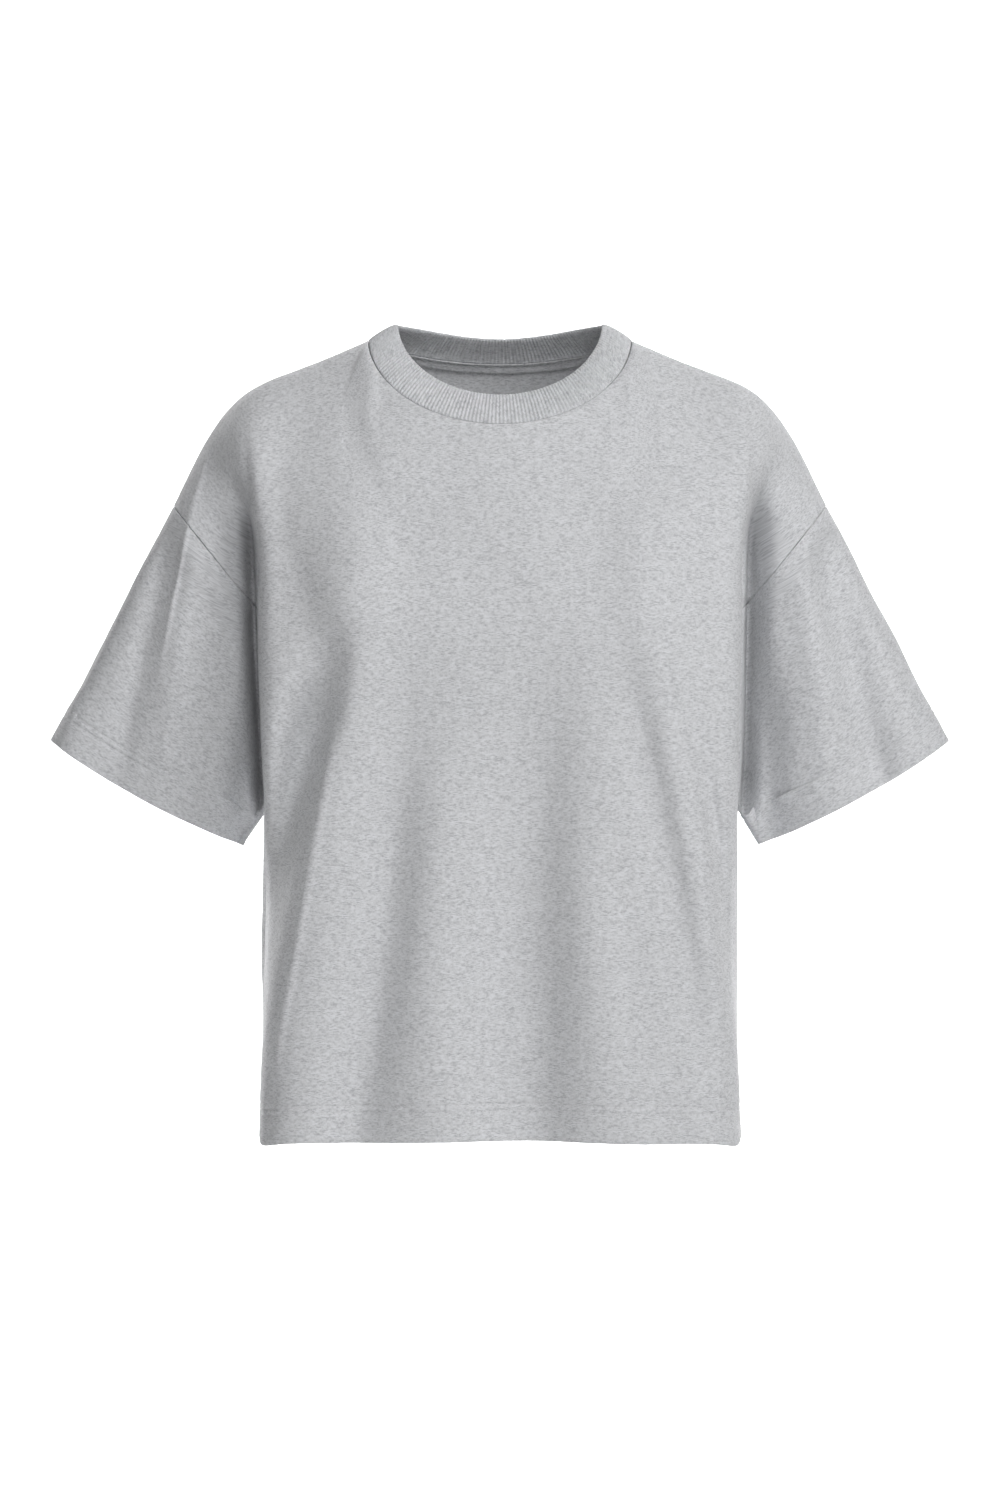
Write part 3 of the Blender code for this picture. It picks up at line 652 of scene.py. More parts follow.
def add_sheet(name, grid, lay, closed=False, flip=False):
    """A sheet of cloth shaped to a grid of points, with its place in the cloth as its UV map."""
    rows, cols = grid.shape[:2]
    bpy.ops.object.select_all(action="DESELECT")
    bpy.ops.mesh.primitive_grid_add(x_subdivisions=cols - 1, y_subdivisions=rows - 1, size=2)
    sheet = bpy.context.object
    sheet.name = name
    mesh = sheet.data
    mesh.name = name
    flat = np.empty(len(mesh.vertices) * 3)
    mesh.vertices.foreach_get("co", flat)
    place = ((flat.reshape(-1, 3)[:, :2] + 1) / 2 * (cols - 1, rows - 1)).round().astype(int)
    mesh.vertices.foreach_set("co", grid[place[:, 1], place[:, 0]].ravel())
    corner = np.empty(len(mesh.loops), dtype=np.int32)
    mesh.loops.foreach_get("vertex_index", corner)
    mesh.uv_layers.active.data.foreach_set("uv", lay[place[corner, 1], place[corner, 0]].ravel())
    bpy.ops.object.mode_set(mode="EDIT")
    bpy.ops.mesh.select_all(action="SELECT")
    if closed:
        bpy.ops.mesh.remove_doubles(threshold=SAME_POINT)
    if flip:
        bpy.ops.mesh.flip_normals()
    bpy.ops.object.mode_set(mode="OBJECT")
    mesh.update()
    return sheet


def thicken(sheet, wall):
    select_only(sheet)
    bpy.ops.object.modifier_add(type="SOLIDIFY")
    shell = sheet.modifiers[-1]
    shell.thickness = wall
    shell.offset = -1
    bpy.ops.object.modifier_apply(modifier=shell.name)
    bpy.ops.object.shade_smooth()


def finish_piece(piece, cloth, node=None):
    """Gives a piece its cloth and its place in the frame."""
    piece.data.materials.clear()
    piece.data.materials.append(cloth)
    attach(piece, "root")
    if node:
        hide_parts(node)


# ---------------------------------------------------------------- the panels


def panel_base(facing):
    """The front or the back before its edges are turned, its rows evenly apart."""
    turns = np.linspace(0, 1, NECK_POINTS)
    neck = even_turns(lambda turn: neck_seam(facing, turn), turns, PANEL_ACROSS[0] + 1)
    rest = spaced(PANEL_ACROSS[1:], (1.0, FLANK, EDGE, TUCK, SEAM))
    across = np.concatenate((1 - neck[:0:-1], rest))
    down = spaced(READ_DOWN, (0.0, 1.0, level_stations()[-1]))
    half = respace(half_panel(facing, across, down), READ_DOWN[0], PANEL_DOWN, HEM_ROWS)
    return np.concatenate((half[:, :0:-1] * (-1, 1, 1), half), axis=1)


def hem_relief(grid, sizes):
    """How deep the hem's needle lines sit."""
    relief = np.zeros(grid.shape[:2])
    first = len(grid) - 1 - len(HEM_ROWS)
    for row, distance in enumerate(HEM_ROWS):
        nearest = min(abs(distance - line) for line in NEEDLE_LINES)
        relief[first + row] += sizes.needle_depth * math.exp(-((nearest / NEEDLE_WIDTH) ** 2))
    return relief


def panel_cloth(facing, sizes):
    """The front or the back with its folds, worn unevenness and seam puckers."""
    grid = panel_base(facing)
    folds = FRONT_FOLDS if facing < 0 else BACK_FOLDS
    top = np.linalg.norm(grid - grid[:1], axis=-1)
    left = np.linalg.norm(grid - grid[:, :1], axis=-1)
    right = np.linalg.norm(grid - grid[:, -1:], axis=-1)
    from_side = np.minimum(left, right)
    calm = smoothstep(top / CALM_BY_SEAM) * smoothstep(from_side / CALM_BY_SIDE)
    crossing = crossing_shift(grid)
    shift = fold_shift(grid, folds) * calm
    room = FOLD_ROOM * np.abs(grid[..., 1]) + SAME_POINT
    grid[..., 1] += crossing - facing * room * np.tanh(shift / room)
    normal = outward(grid, facing)
    seeds = [seed + facing for seed in PANEL_SEEDS]
    soft = uneven(grid * SOFT_STRETCH, PANEL_SOFT, seeds[0]) * calm
    fine = uneven(grid * FINE_STRETCH, PANEL_FINE, seeds[1]) * smoothstep(from_side / FINE_FROM)
    shift = (soft + fine + seam_pucker(grid, from_side, seeds[2])) * smoothstep(top / FLAT_BY_NECK)
    return grid + normal * (shift - hem_relief(grid, sizes))[..., None]


def needle_rows(grid, sign, closed=False):
    """The two needle lines of a hem, each as its points and outward normals."""
    normal = outward(grid, sign, closed)
    first = len(grid) - 1 - len(HEM_ROWS)
    rows = [first + HEM_ROWS.index(line) for line in NEEDLE_LINES]
    return [(grid[row], normal[row]) for row in rows]


def make_panel(name, facing, cloth, slot, sizes):
    base = panel_cloth(facing, sizes)
    sides = (("top", NECK_TURN), ("bottom", HEM_TURN), ("left", SEAM_TURN), ("right", SEAM_TURN))
    grid = turned(np.concatenate((base, outward(base, facing)), axis=-1), sides)[..., :3]
    panel = add_sheet(name, grid, panel_map(grid, grid.shape[1] // 2), flip=facing < 0)
    thicken(panel, sizes.wall)
    finish_piece(panel, cloth, slot.split("_jersey")[0])
    return base


# ---------------------------------------------------------------- the sleeves


def sleeve_cloth(side, sizes):
    along = np.linspace(0, 1, READ_ALONG + 1)
    front = half_sleeve(-1, np.linspace(0, 1, SLEEVE_ROUND[0] + 1), along)
    back = half_sleeve(1, np.linspace(0, 1, SLEEVE_ROUND[1] + 1), along)
    grid = np.concatenate((front, back[:, -2::-1]), axis=1)
    grid = respace(grid, 0, (0, SLEEVE_ALONG), HEM_ROWS) * (side, 1, 1)
    folds = LEFT_SLEEVE_FOLDS if side > 0 else RIGHT_SLEEVE_FOLDS
    seam = np.linalg.norm(grid - grid[:1], axis=-1)
    calm = smoothstep(seam / CALM_BY_SEAM)
    grid[..., 1] += fold_shift(grid, folds) * calm * on_front(grid) + crossing_shift(grid)
    normal = outward(grid, side, closed=True)
    seeds = [seed + side for seed in SLEEVE_SEEDS]
    worn = uneven(grid, SLEEVE_SOFT, seeds[0]) + uneven(grid, SLEEVE_FINE, seeds[1])
    shift = worn * calm + seam_pucker(grid, seam, seeds[2])
    return grid + normal * (shift - hem_relief(grid, sizes))[..., None]


def make_sleeve(name, side, cloth, slot, sizes):
    base = sleeve_cloth(side, sizes)
    normals = outward(base, side, closed=True)
    sheet = turned(np.concatenate((base, normals), axis=-1), (("top", SEAM_TURN), ("bottom", HEM_TURN)))
    grid = sheet[..., :3]
    grid[:, -1] = grid[:, 0]
    sleeve = add_sheet(name, grid, cloth_map(grid, grid.shape[1] // 2), closed=True, flip=side < 0)
    thicken(sleeve, sizes.wall)
    finish_piece(sleeve, cloth, slot.split("_jersey")[0])
    return base


# ---------------------------------------------------------------- the neckband and the tape


def neck_loop(line, turns):
    """A closed neckline at turns in quarters from the left shoulder, round the front and then the back."""
    quarter = np.mod(turns, 4)
    facing = np.where(quarter < 2, -1, 1)
    near = 1 - np.abs(np.mod(quarter, 2) - 1)
    right = (quarter > 1) & (quarter < 3)
    front = line(-1, near)
    back = line(1, near)
    points = np.where((facing < 0)[:, None], front, back)
    points[:, 0] = np.where(right, -points[:, 0], points[:, 0])
    return points


def neck_middle(turns):
    return (neck_loop(neck_seam, turns) + neck_loop(band_edge, turns)) / 2


# The neckband's section, from its seam round its folded edge and back down the inside: share of the way up,
# then millimetres more, millimetres inwards, and how much of the rib shows. Past BAND_MIDDLE inwards it is
# the inner face.
BAND_MIDDLE = 1.2
BAND_SECTION = (
    (0.00, 0.15, 3.4, 0.0),
    (0.00, 0.17, 1.6, 0.0),
    (0.00, 0.30, 0.8, 0.1),
    (0.00, 0.70, 0.25, 0.6),
    (0.00, 1.50, -0.05, 0.9),
    (0.12, 0.50, -0.35, 1.0),
    (0.25, 0.00, -0.65, 1.0),
    (0.40, 0.00, -0.9, 1.0),
    (0.55, 0.00, -0.95, 1.0),
    (0.70, 0.00, -0.8, 1.0),
    (0.83, 0.00, -0.45, 1.0),
    (0.93, 0.00, 0.0, 1.0),
    (1.00, -0.50, 0.4, 0.8),
    (1.00, 0.00, 1.2, 0.6),
    (1.00, -0.50, 2.0, 0.8),
    (0.93, 0.00, 2.4, 1.0),
    (0.80, 0.00, 2.3, 1.0),
    (0.60, 0.00, 2.1, 1.0),
    (0.40, 0.00, 2.1, 1.0),
    (0.22, 0.00, 2.3, 1.0),
    (0.10, 0.50, 2.6, 0.8),
    (0.04, 0.80, 3.0, 0.3),
)


def band_grid(sizes):
    """The neckband as its closed section swept round the neck, with its ribs raised on both faces."""
    fine = np.linspace(0, 4, LOOP_POINTS)
    count = RIB_COUNT * RIB_COLUMNS
    turns = even_turns(neck_middle, fine, count + 1)[:-1]
    seam = neck_loop(neck_seam, turns)
    edge = neck_loop(band_edge, turns)
    up = edge - seam
    tall = np.linalg.norm(up, axis=-1, keepdims=True)
    up = up / tall
    around = np.roll(seam + edge, -1, axis=0) - np.roll(seam + edge, 1, axis=0)
    inward = unit(np.cross(around, up))
    inward = inward * np.sign(np.sum(inward * (-seam * (1, 1, 0)), axis=-1, keepdims=True))
    wave = 0.5 - 0.5 * np.cos(np.arange(count) / RIB_COLUMNS * 2 * math.pi)
    raised = (wave**RIB_ROUNDNESS - 0.5)[:, None] * sizes.rib_relief
    rows = []
    for share, more, deep, rib in BAND_SECTION:
        face = 1 if deep > BAND_MIDDLE else -1
        lift = raised * rib * face
        rows.append(seam + up * (tall * share + more * MM) + inward * (deep * MM + lift))
    grid = np.stack((*rows, rows[0]))
    return np.concatenate((grid, grid[:, :1]), axis=1)


def make_neckband(cloth, sizes):
    grid = band_grid(sizes)
    lay = cloth_map(grid, 0)
    lay[..., 0] = np.arange(grid.shape[1]) / RIB_COLUMNS * RIB_PITCH
    band = add_sheet("neckband", grid, lay, closed=True, flip=True)
    bpy.ops.object.shade_smooth()
    finish_piece(band, cloth, "neck_rib")


# Where the tape lies below the back neck seam, and the rounding of its edges, in millimetres: down,
# inwards.
TAPE_SECTION = (
    (0.9, 0.55),
    (0.95, 0.2),
    (1.3, 0.0),
    (2.4, 0.0),
    (3.6, -0.12),
    (5.0, -0.15),
    (6.4, -0.12),
    (7.6, 0.0),
    (8.4, 0.0),
    (8.75, 0.2),
    (8.8, 0.55),
)
TAPE_NEEDLE_ROWS = (3, 7)
TAPE_STANDS_OFF = 1.35 * MM
TAPE_WALL = 0.5 * MM

# The rows of the back that the tape is read from, and the one that gives the way out of it.
TAPE_READ_ROWS = 30
TAPE_NORMAL_ROW = 2


def make_tape(back, cloth, sizes):
    """The tape inside the back neck, laid on the back's own cloth."""
    middle = back.shape[1] // 2
    reach = PANEL_ACROSS[0] - 1
    strip = back[:TAPE_READ_ROWS, middle - reach : middle + reach + 1]
    normal = outward(back, 1)[TAPE_NORMAL_ROW, middle - reach : middle + reach + 1]
    rows = []
    for down, deep in TAPE_SECTION:
        place = []
        for j in range(strip.shape[1]):
            here = read_curve(strip[:, j], np.array([down * MM]))[0]
            place.append(here - normal[j] * (sizes.wall + TAPE_STANDS_OFF - deep * MM))
        rows.append(place)
    grid = np.array(rows)
    tape = add_sheet("neck_binding", grid, cloth_map(grid, grid.shape[1] // 2))
    thicken(tape, TAPE_WALL)
    finish_piece(tape, cloth, "neck_tape")
    inside = -outward(grid, 1)
    return [(grid[row], inside[row]) for row in TAPE_NEEDLE_ROWS]


# ---------------------------------------------------------------- sewing

# Shares of the stitch pitch that a stitch takes up and that its direction is read over, and of the thread's
# thickness that it is high and that it is lifted out of the cloth.
STITCH_LENGTH = 0.86
STITCH_READ = 0.3
STITCH_HEIGHT = 0.8
STITCH_LIFT = 0.1


def model_stitch(sizes):
    """One stitch: a short bead of thread, tapered at its ends."""
    bpy.ops.object.select_all(action="DESELECT")
    bpy.ops.mesh.primitive_uv_sphere_add(segments=6, ring_count=5, radius=0.5)
    stitch = bpy.context.object
    bpy.ops.object.mode_set(mode="EDIT")
    bpy.ops.mesh.select_all(action="SELECT")
    thick = sizes.thread
    length = sizes.stitch_pitch * STITCH_LENGTH
    bpy.ops.transform.resize(value=(thick, thick * STITCH_HEIGHT, length))
    bpy.ops.object.mode_set(mode="OBJECT")
    points = np.array([vertex.co for vertex in stitch.data.vertices])
    faces = [tuple(face.vertices) for face in stitch.data.polygons]
    mesh = stitch.data
    bpy.data.objects.remove(stitch)
    bpy.data.meshes.remove(mesh)
    return points, faces


def stitch_places(line, sizes):
    """Where each stitch of a line goes, as its middle, its direction and the way out of the cloth."""
    points, normals = line
    run = run_of(points)
    count = max(int(run[-1] / sizes.stitch_pitch), 1)
    middles = (np.arange(count) + 0.5) * run[-1] / count
    centre = read_curve(points, middles)
    ahead = read_curve(points, middles + STITCH_READ * sizes.stitch_pitch)
    behind = read_curve(points, middles - STITCH_READ * sizes.stitch_pitch)
    out = np.stack([np.interp(middles, run, normals[:, i]) for i in range(3)], axis=-1)
    return centre, unit(ahead - behind), unit(out)


def sew(name, lines, thread_finish, sizes):
    """All the stitches of some lines as one joined mesh."""
    points, faces = model_stitch(sizes)
    spots = []
    for line in lines:
        centre, way, out = stitch_places(line, sizes)
        aside = unit(np.cross(way, out))
        lift = centre + out * sizes.thread * STITCH_LIFT
        spots.append(
            lift[:, None, :]
            + aside[:, None, :] * points[None, :, 0:1]
            + out[:, None, :] * points[None, :, 1:2]
            + way[:, None, :] * points[None, :, 2:3]
        )
    places = np.concatenate(spots)
    count = len(points)
    every = [tuple(i + n * count for i in face) for n in range(len(places)) for face in faces]
    mesh = bpy.data.meshes.new(name)
    mesh.from_pydata(places.reshape(-1, 3), [], every)
    piece = bpy.data.objects.new(name, mesh)
    bpy.context.scene.collection.objects.link(piece)
    select_only(piece)
    bpy.ops.object.mode_set(mode="EDIT")
    bpy.ops.mesh.select_all(action="SELECT")
    bpy.ops.mesh.normals_make_consistent(inside=False)
    bpy.ops.object.mode_set(mode="OBJECT")
    bpy.ops.object.shade_smooth()
    finish_piece(piece, thread_finish)


# ---------------------------------------------------------------- materials


def hex_linear(code):
    """An sRGB hex colour as linear red, green and blue."""
    parts = [int(code[i : i + 2], 16) / 255 for i in (1, 3, 5)]
    return tuple(p / 12.92 if p <= 0.04045 else ((p + 0.055) / 1.055) ** 2.4 for p in parts)


def add_node(tree, kind, settings=None, links=None):
    """Adds a node with its settings, and its inputs as links from sockets or nodes, or as plain values."""
    node = tree.nodes.new(kind)
    for name, value in (settings or {}).items():
        setattr(node, name, value)
    for name, value in (links or {}).items():
        if isinstance(value, bpy.types.Node):
            value = value.outputs[0]
        if isinstance(value, bpy.types.NodeSocket):
            tree.links.new(value, node.inputs[name])
        else:
            node.inputs[name].default_value = value
    return node


def new_material(name, look):
    made = bpy.data.materials.new(name)
    made.use_nodes = True
    shader = made.node_tree.nodes["Principled BSDF"]
    for socket, value in look.items():
        shader.inputs[socket].default_value = value
    return made, made.node_tree, shader


MATH = "ShaderNodeMath"
ADD, SUBTRACT, MULTIPLY, DIVIDE, FLOOR, FRACT, ABSOLUTE, SINE, COSINE = (
    {"operation": name}
    for name in ("ADD", "SUBTRACT", "MULTIPLY", "DIVIDE", "FLOOR", "FRACT", "ABSOLUTE", "SINE", "COSINE")
)

# The knit is drawn coarser than real, because it would be too fine to show: a real wale is about 0.7 mm
# wide and a course 0.5 mm high. So are the streaks of fibre in the yarn, which are finer still, and the
# clouds in it.
WALE = 1.1 * MM
COURSE = 0.9 * MM
LOOP_SLANT = 1.3
LEG_SHARE = 0.5
LOOP_SHARE = 0.3
FUZZ_SHARE = 1.2
COURSE_SHOWN = 0.78 * MM
COURSE_SHUFFLE = 3.17
STREAK_LENGTH = 4.0 * MM
STREAK_ROUGHNESS = 0.65
CLOUD_LENGTH = 11.0 * MM
CLOUD_HEIGHT = 4.0 * MM
CLOUD_ROUGHNESS = 0.55
CLOUD_SHARE = 0.15
HEATHER_TONES = ((0.32, "dark"), (0.50, "middle"), (0.66, "light"))

# Cotton knit is matte, with hardly a highlight, and its fuzz glows faintly where it is seen from the side.
COTTON_LOOK = {"Roughness": 0.92, "Specular IOR Level": 0.25, "Sheen Weight": 0.2, "Sheen Roughness": 0.6}


def knit_height(tree, u, v):
    """Knitted loops: each wale is a column of V shapes, one for each course."""
    place = add_node(tree, MATH, FRACT, {0: add_node(tree, MATH, DIVIDE, {0: u, 1: WALE})})
    lean = add_node(tree, MATH, ABSOLUTE, {0: add_node(tree, MATH, SUBTRACT, {0: place, 1: 0.5})})
    rows = add_node(tree, MATH, DIVIDE, {0: v, 1: COURSE})
    drop = add_node(tree, MATH, MULTIPLY, {0: lean, 1: LOOP_SLANT})
    slant = add_node(tree, MATH, SUBTRACT, {0: rows, 1: drop})
    loops = add_node(tree, MATH, SINE, {0: add_node(tree, MATH, MULTIPLY, {0: slant, 1: 2 * math.pi})})
    legs = add_node(tree, MATH, SINE, {0: add_node(tree, MATH, MULTIPLY, {0: lean, 1: 2 * math.pi})})
    legs = add_node(tree, MATH, MULTIPLY, {0: legs, 1: LEG_SHARE})
    loops = add_node(tree, MATH, MULTIPLY, {0: loops, 1: LOOP_SHARE})
    return add_node(tree, MATH, ADD, {0: legs, 1: loops})


def mottle(tree, along, up, roughness):
    """A soft random tone that changes about once for each unit along and up the cloth."""
    place = add_node(tree, "ShaderNodeCombineXYZ", None, {0: along, 1: up})
    look = {"Vector": place, "Scale": 1.0, "Detail": 3.0, "Roughness": roughness}
    return add_node(tree, "ShaderNodeTexNoise", {"noise_dimensions": "2D"}, look)


def heather_colour(tree, u, v, colours):
    """Yarn of mixed light and dark fibres: each course shows short streaks of a lighter or darker tone."""
    course = add_node(tree, MATH, FLOOR, {0: add_node(tree, MATH, DIVIDE, {0: v, 1: COURSE_SHOWN})})
    along = add_node(tree, MATH, DIVIDE, {0: u, 1: STREAK_LENGTH})
    shuffled = add_node(tree, MATH, MULTIPLY, {0: course, 1: COURSE_SHUFFLE})
    streaks = mottle(tree, along, shuffled, STREAK_ROUGHNESS)
    wide = add_node(tree, MATH, DIVIDE, {0: u, 1: CLOUD_LENGTH})
    tall = add_node(tree, MATH, DIVIDE, {0: v, 1: CLOUD_HEIGHT})
    clouds = mottle(tree, wide, tall, CLOUD_ROUGHNESS)
    tone = add_node(tree, "ShaderNodeMix", None, {0: CLOUD_SHARE, 2: streaks, 3: clouds})
    ramp = add_node(tree, "ShaderNodeValToRGB", None, {"Fac": tone})
    tones = ramp.color_ramp.elements
    tones.new(HEATHER_TONES[1][0])
    for element, (position, fibre) in zip(tones, HEATHER_TONES):
        element.position = position
        element.color = (*getattr(colours, fibre), 1)
    return ramp, tone


def heather_cloth(name, colours):
    """A material in the heather yarn, with the place in the cloth, the yarn's colour and its tone."""
    made, tree, shader = new_material(name, COTTON_LOOK)
    place = add_node(tree, "ShaderNodeUVMap", {"uv_map": "UVMap"})
    split = add_node(tree, "ShaderNodeSeparateXYZ", None, {0: place})
    u, v = split.outputs[0], split.outputs[1]
    return made, tree, shader, u, v, *heather_colour(tree, u, v, colours)


def jersey(name, colours):
    """Cotton jersey, single knit, in heather yarn: matte and slightly fuzzy, with fine V shaped loops."""
    made, tree, shader, u, v, colour, tone = heather_cloth(name, colours)
    tree.links.new(colour.outputs[0], shader.inputs["Base Color"])
    fuzz = add_node(tree, MATH, MULTIPLY, {0: tone, 1: FUZZ_SHARE})
    height = add_node(tree, MATH, ADD, {0: knit_height(tree, u, v), 1: fuzz})
    bump = add_node(tree, "ShaderNodeBump", None, {"Strength": 0.5, "Distance": 0.12 * MM, "Height": height})
    tree.links.new(bump.outputs[0], shader.inputs["Normal"])
    return made


def rib_knit(name, colours):
    """One by one cotton rib in the same heather yarn, softer and matte, with painted shade in its channels.
    """
    made, tree, shader, u, _, colour, tone = heather_cloth(name, colours)
    # Painted shade: the colour is mixed towards a darker one in the channels between the ribs, at most by
    # RIB_SHADE.
    turn = add_node(tree, MATH, MULTIPLY, {0: u, 1: 2 * math.pi / RIB_PITCH})
    wave = add_node(tree, MATH, COSINE, {0: turn})
    ends = {"Value": wave, "From Min": 0.2, "From Max": 1.0, "To Max": RIB_SHADE}
    channel = add_node(tree, "ShaderNodeMapRange", None, ends)
    mixed = {0: channel, 6: colour, 7: (*colours.channel, 1)}
    shaded = add_node(tree, "ShaderNodeMix", {"data_type": "RGBA"}, mixed)
    tree.links.new(shaded.outputs[2], shader.inputs["Base Color"])
    bump = add_node(tree, "ShaderNodeBump", None, {"Strength": 0.4, "Distance": 0.1 * MM, "Height": tone})
    tree.links.new(bump.outputs[0], shader.inputs["Normal"])
    return made


# How many bright and dark fibres a metre of thread shows.
THREAD_FIBRES = 900.0


def sewing_thread(name, colours):
    """Spun polyester thread, a little smoother and brighter than the cloth."""
    made, tree, shader = new_material(name, {"Roughness": 0.6})
    place = add_node(tree, "ShaderNodeTexCoord").outputs["Object"]
    ply = add_node(tree, "ShaderNodeTexNoise", None, {"Vector": place, "Scale": THREAD_FIBRES, "Detail": 1.0})
    ramp = add_node(tree, "ShaderNodeValToRGB", None, {"Fac": ply})
    ramp.color_ramp.elements[0].color = (*colours.middle, 1)
    ramp.color_ramp.elements[1].color = (*colours.thread, 1)
    tree.links.new(ramp.outputs[0], shader.inputs["Base Color"])
    return made


# The painted pool of light, a glow of the paper itself, in metres from the middle: it ends aside between the
# first two, it starts behind the shirt between the next two, and it grows brighter aside from POOL_GROWS on.
POOL_ENDS = (2.2, 1.2)
POOL_STARTS = (1.0, 1.8)
POOL_GROWS = (0.7, 1.0)
POOL_STRENGTHS = (1.0, 7.0)


def backdrop_paper(name):
    """Seamless white background paper that glows behind the shirt with a painted pool of light, which washes
    it out.
    """
    look = {"Base Color": (*hex_linear("#e6e6e6"), 1), "Roughness": 0.95, "Emission Color": (1, 1, 1, 1)}
    made, tree, shader = new_material(name, look)
    place = add_node(tree, "ShaderNodeTexCoord").outputs["Object"]
    split = add_node(tree, "ShaderNodeSeparateXYZ", None, {0: place})
    aside = add_node(tree, MATH, ABSOLUTE, {0: split})
    pool = 1.0
    for value, limits, strengths in (
        (aside, POOL_ENDS, (0.0, 1.0)),
        (aside, POOL_GROWS, POOL_STRENGTHS),
        (split.outputs[1], POOL_STARTS, (0.0, 1.0)),
    ):
        ends = {"Value": value, "From Min": limits[0], "From Max": limits[1]}
        ends.update({"To Min": strengths[0], "To Max": strengths[1]})
        part = add_node(tree, "ShaderNodeMapRange", {"interpolation_type": "SMOOTHSTEP"}, ends)
        pool = add_node(tree, MATH, MULTIPLY, {0: part, 1: pool})
    # The painted pool of light drives the paper's own glow.
    tree.links.new(pool.outputs[0], shader.inputs["Emission Strength"])
    return made


# ---------------------------------------------------------------- sizes and colours a user may change


def length_property(name, description, usual, least, most):
    """A small length, with its usual, least and most value in millimetres."""
    return FloatProperty(
        name=name,
        description=description,
        default=usual * MM,
        min=least * MM,
        max=most * MM,
        precision=4,
        unit="LENGTH",
    )


def colour_property(name, description, code):
    return FloatVectorProperty(
        name=name,
        description=description,
        subtype="COLOR",
        size=3,
        min=0.0,
        max=1.0,
        default=hex_linear(code),
    )


class ShirtSizes(bpy.types.PropertyGroup):
    wall: length_property("Cloth thickness", "Thickness of one layer of jersey", 1.0, 0.4, 2.0)
    rib_relief: length_property(
        "Rib relief",
        "How far the ribs of the neckband stand proud of the channels between them",
        1.0,
        0.0,
        1.5,
    )
    stitch_pitch: length_property("Stitch pitch", "Distance from one stitch to the next", 3.2, 2.0, 6.0)
    thread: length_property(
        "Thread thickness", "Diameter of the sewing thread as it lies on the cloth", 0.5, 0.2, 1.0
    )
    needle_depth: length_property(
        "Needle line depth", "How far the twin needle lines draw the hems in", 0.7, 0.0, 1.0
    )


class ShirtColours(bpy.types.PropertyGroup):
    light: colour_property("Light fibre", "The palest streaks of the heather yarn", "#d3d4d7")
    middle: colour_property("Main fibre", "The general tone of the heather yarn", "#c6c7c9")
    dark: colour_property("Dark fibre", "The darkest streaks of the heather yarn", "#a9aaae")
    # Painted shade in the rib's channels, not a colour of the yarn itself.
    channel: colour_property("Rib channel", "The rib knit in the channels between its ribs", "#97989c")
    thread: colour_property("Thread", "The sewing thread", "#dcdddf")


class ShirtStage(bpy.types.PropertyGroup):
    light: FloatProperty(
        name="Light",
        description="Strength of all the softboxes, as a share of their usual power",
        default=1.0,
        min=0.0,
        subtype="FACTOR",
    )
    floor_drop: FloatProperty(
        name="Floor",
        description="How far the floor lies below the shirt's hem",
        default=1.0,
        min=0.0,
        unit="LENGTH",
    )


# ---------------------------------------------------------------- operators


def shirt_cloth(context):
    """The heather jersey, made once and shared by the panels."""
    found = bpy.data.materials.get("heather_cotton_jersey")
    return found or jersey("heather_cotton_jersey", context.scene.shirt_colours)


def shirt_thread(context):
    found = bpy.data.materials.get("spun_polyester_thread")
    return found or sewing_thread("spun_polyester_thread", context.scene.shirt_colours)


class SHIRT_OT_front(bpy.types.Operator):
    """Adds the front panel with its folds, turned seams, folded hem and twin needle stitching"""

    bl_idname = "shirt.front"
    bl_label = "Front"

    def execute(self, context):
        sizes = context.scene.shirt_sizes
        base = make_panel("front_panel", -1, shirt_cloth(context), "front_jersey", sizes)
        sew("front_hem_stitches", needle_rows(base, -1), shirt_thread(context), sizes)
        return {"FINISHED"}


class SHIRT_OT_back(bpy.types.Operator):
    """Adds the back panel, its hem, and the tape that covers the seam inside the back neck"""

    bl_idname = "shirt.back"
    bl_label = "Back and neck tape"

    def execute(self, context):
        sizes = context.scene.shirt_sizes
        cloth = shirt_cloth(context)
        base = make_panel("back_panel", 1, cloth, "back_jersey", sizes)
        sew("back_hem_stitches", needle_rows(base, 1), shirt_thread(context), sizes)
        lines = make_tape(base, cloth, sizes)
        sew("tape_stitches", lines, shirt_thread(context), sizes)
        return {"FINISHED"}


class SHIRT_OT_sleeves(bpy.types.Operator):
    """Adds both sleeves with their folds, cuff hems and twin needle stitching"""

    bl_idname = "shirt.sleeves"
    bl_label = "Sleeves"

    def execute(self, context):
        sizes = context.scene.shirt_sizes
        for name, side in (("left", 1), ("right", -1)):
            slot = f"sleeve_{name}_jersey"
            base = make_sleeve(f"{name}_sleeve", side, shirt_cloth(context), slot, sizes)
            lines = needle_rows(base, side, closed=True)
            sew(f"{name}_cuff_stitches", lines, shirt_thread(context), sizes)
        return {"FINISHED"}


class SHIRT_OT_neckband(bpy.types.Operator):
    """Adds the folded neckband in one by one rib"""

    bl_idname = "shirt.neckband"
    bl_label = "Neckband"

    def execute(self, context):
        cloth = rib_knit("heather_cotton_rib", context.scene.shirt_colours)
        make_neckband(cloth, context.scene.shirt_sizes)
        return {"FINISHED"}


class SHIRT_OT_stage(bpy.types.Operator):
    """Adds the pale floor and backdrop, the soft studio lights and the camera"""

    bl_idname = "shirt.stage"
    bl_label = "Stage"

    def execute(self, context):
        stage = context.scene.shirt_stage
        add_backdrop(stage)
        add_lights(context, stage)
        add_camera(context)
        return {"FINISHED"}


TARGET = Vector((0.0, 0.0, -0.307))
CAMERA_DISTANCE = 5.0
CAMERA_LENS = 160.0
SENSOR_HEIGHT = 36.0

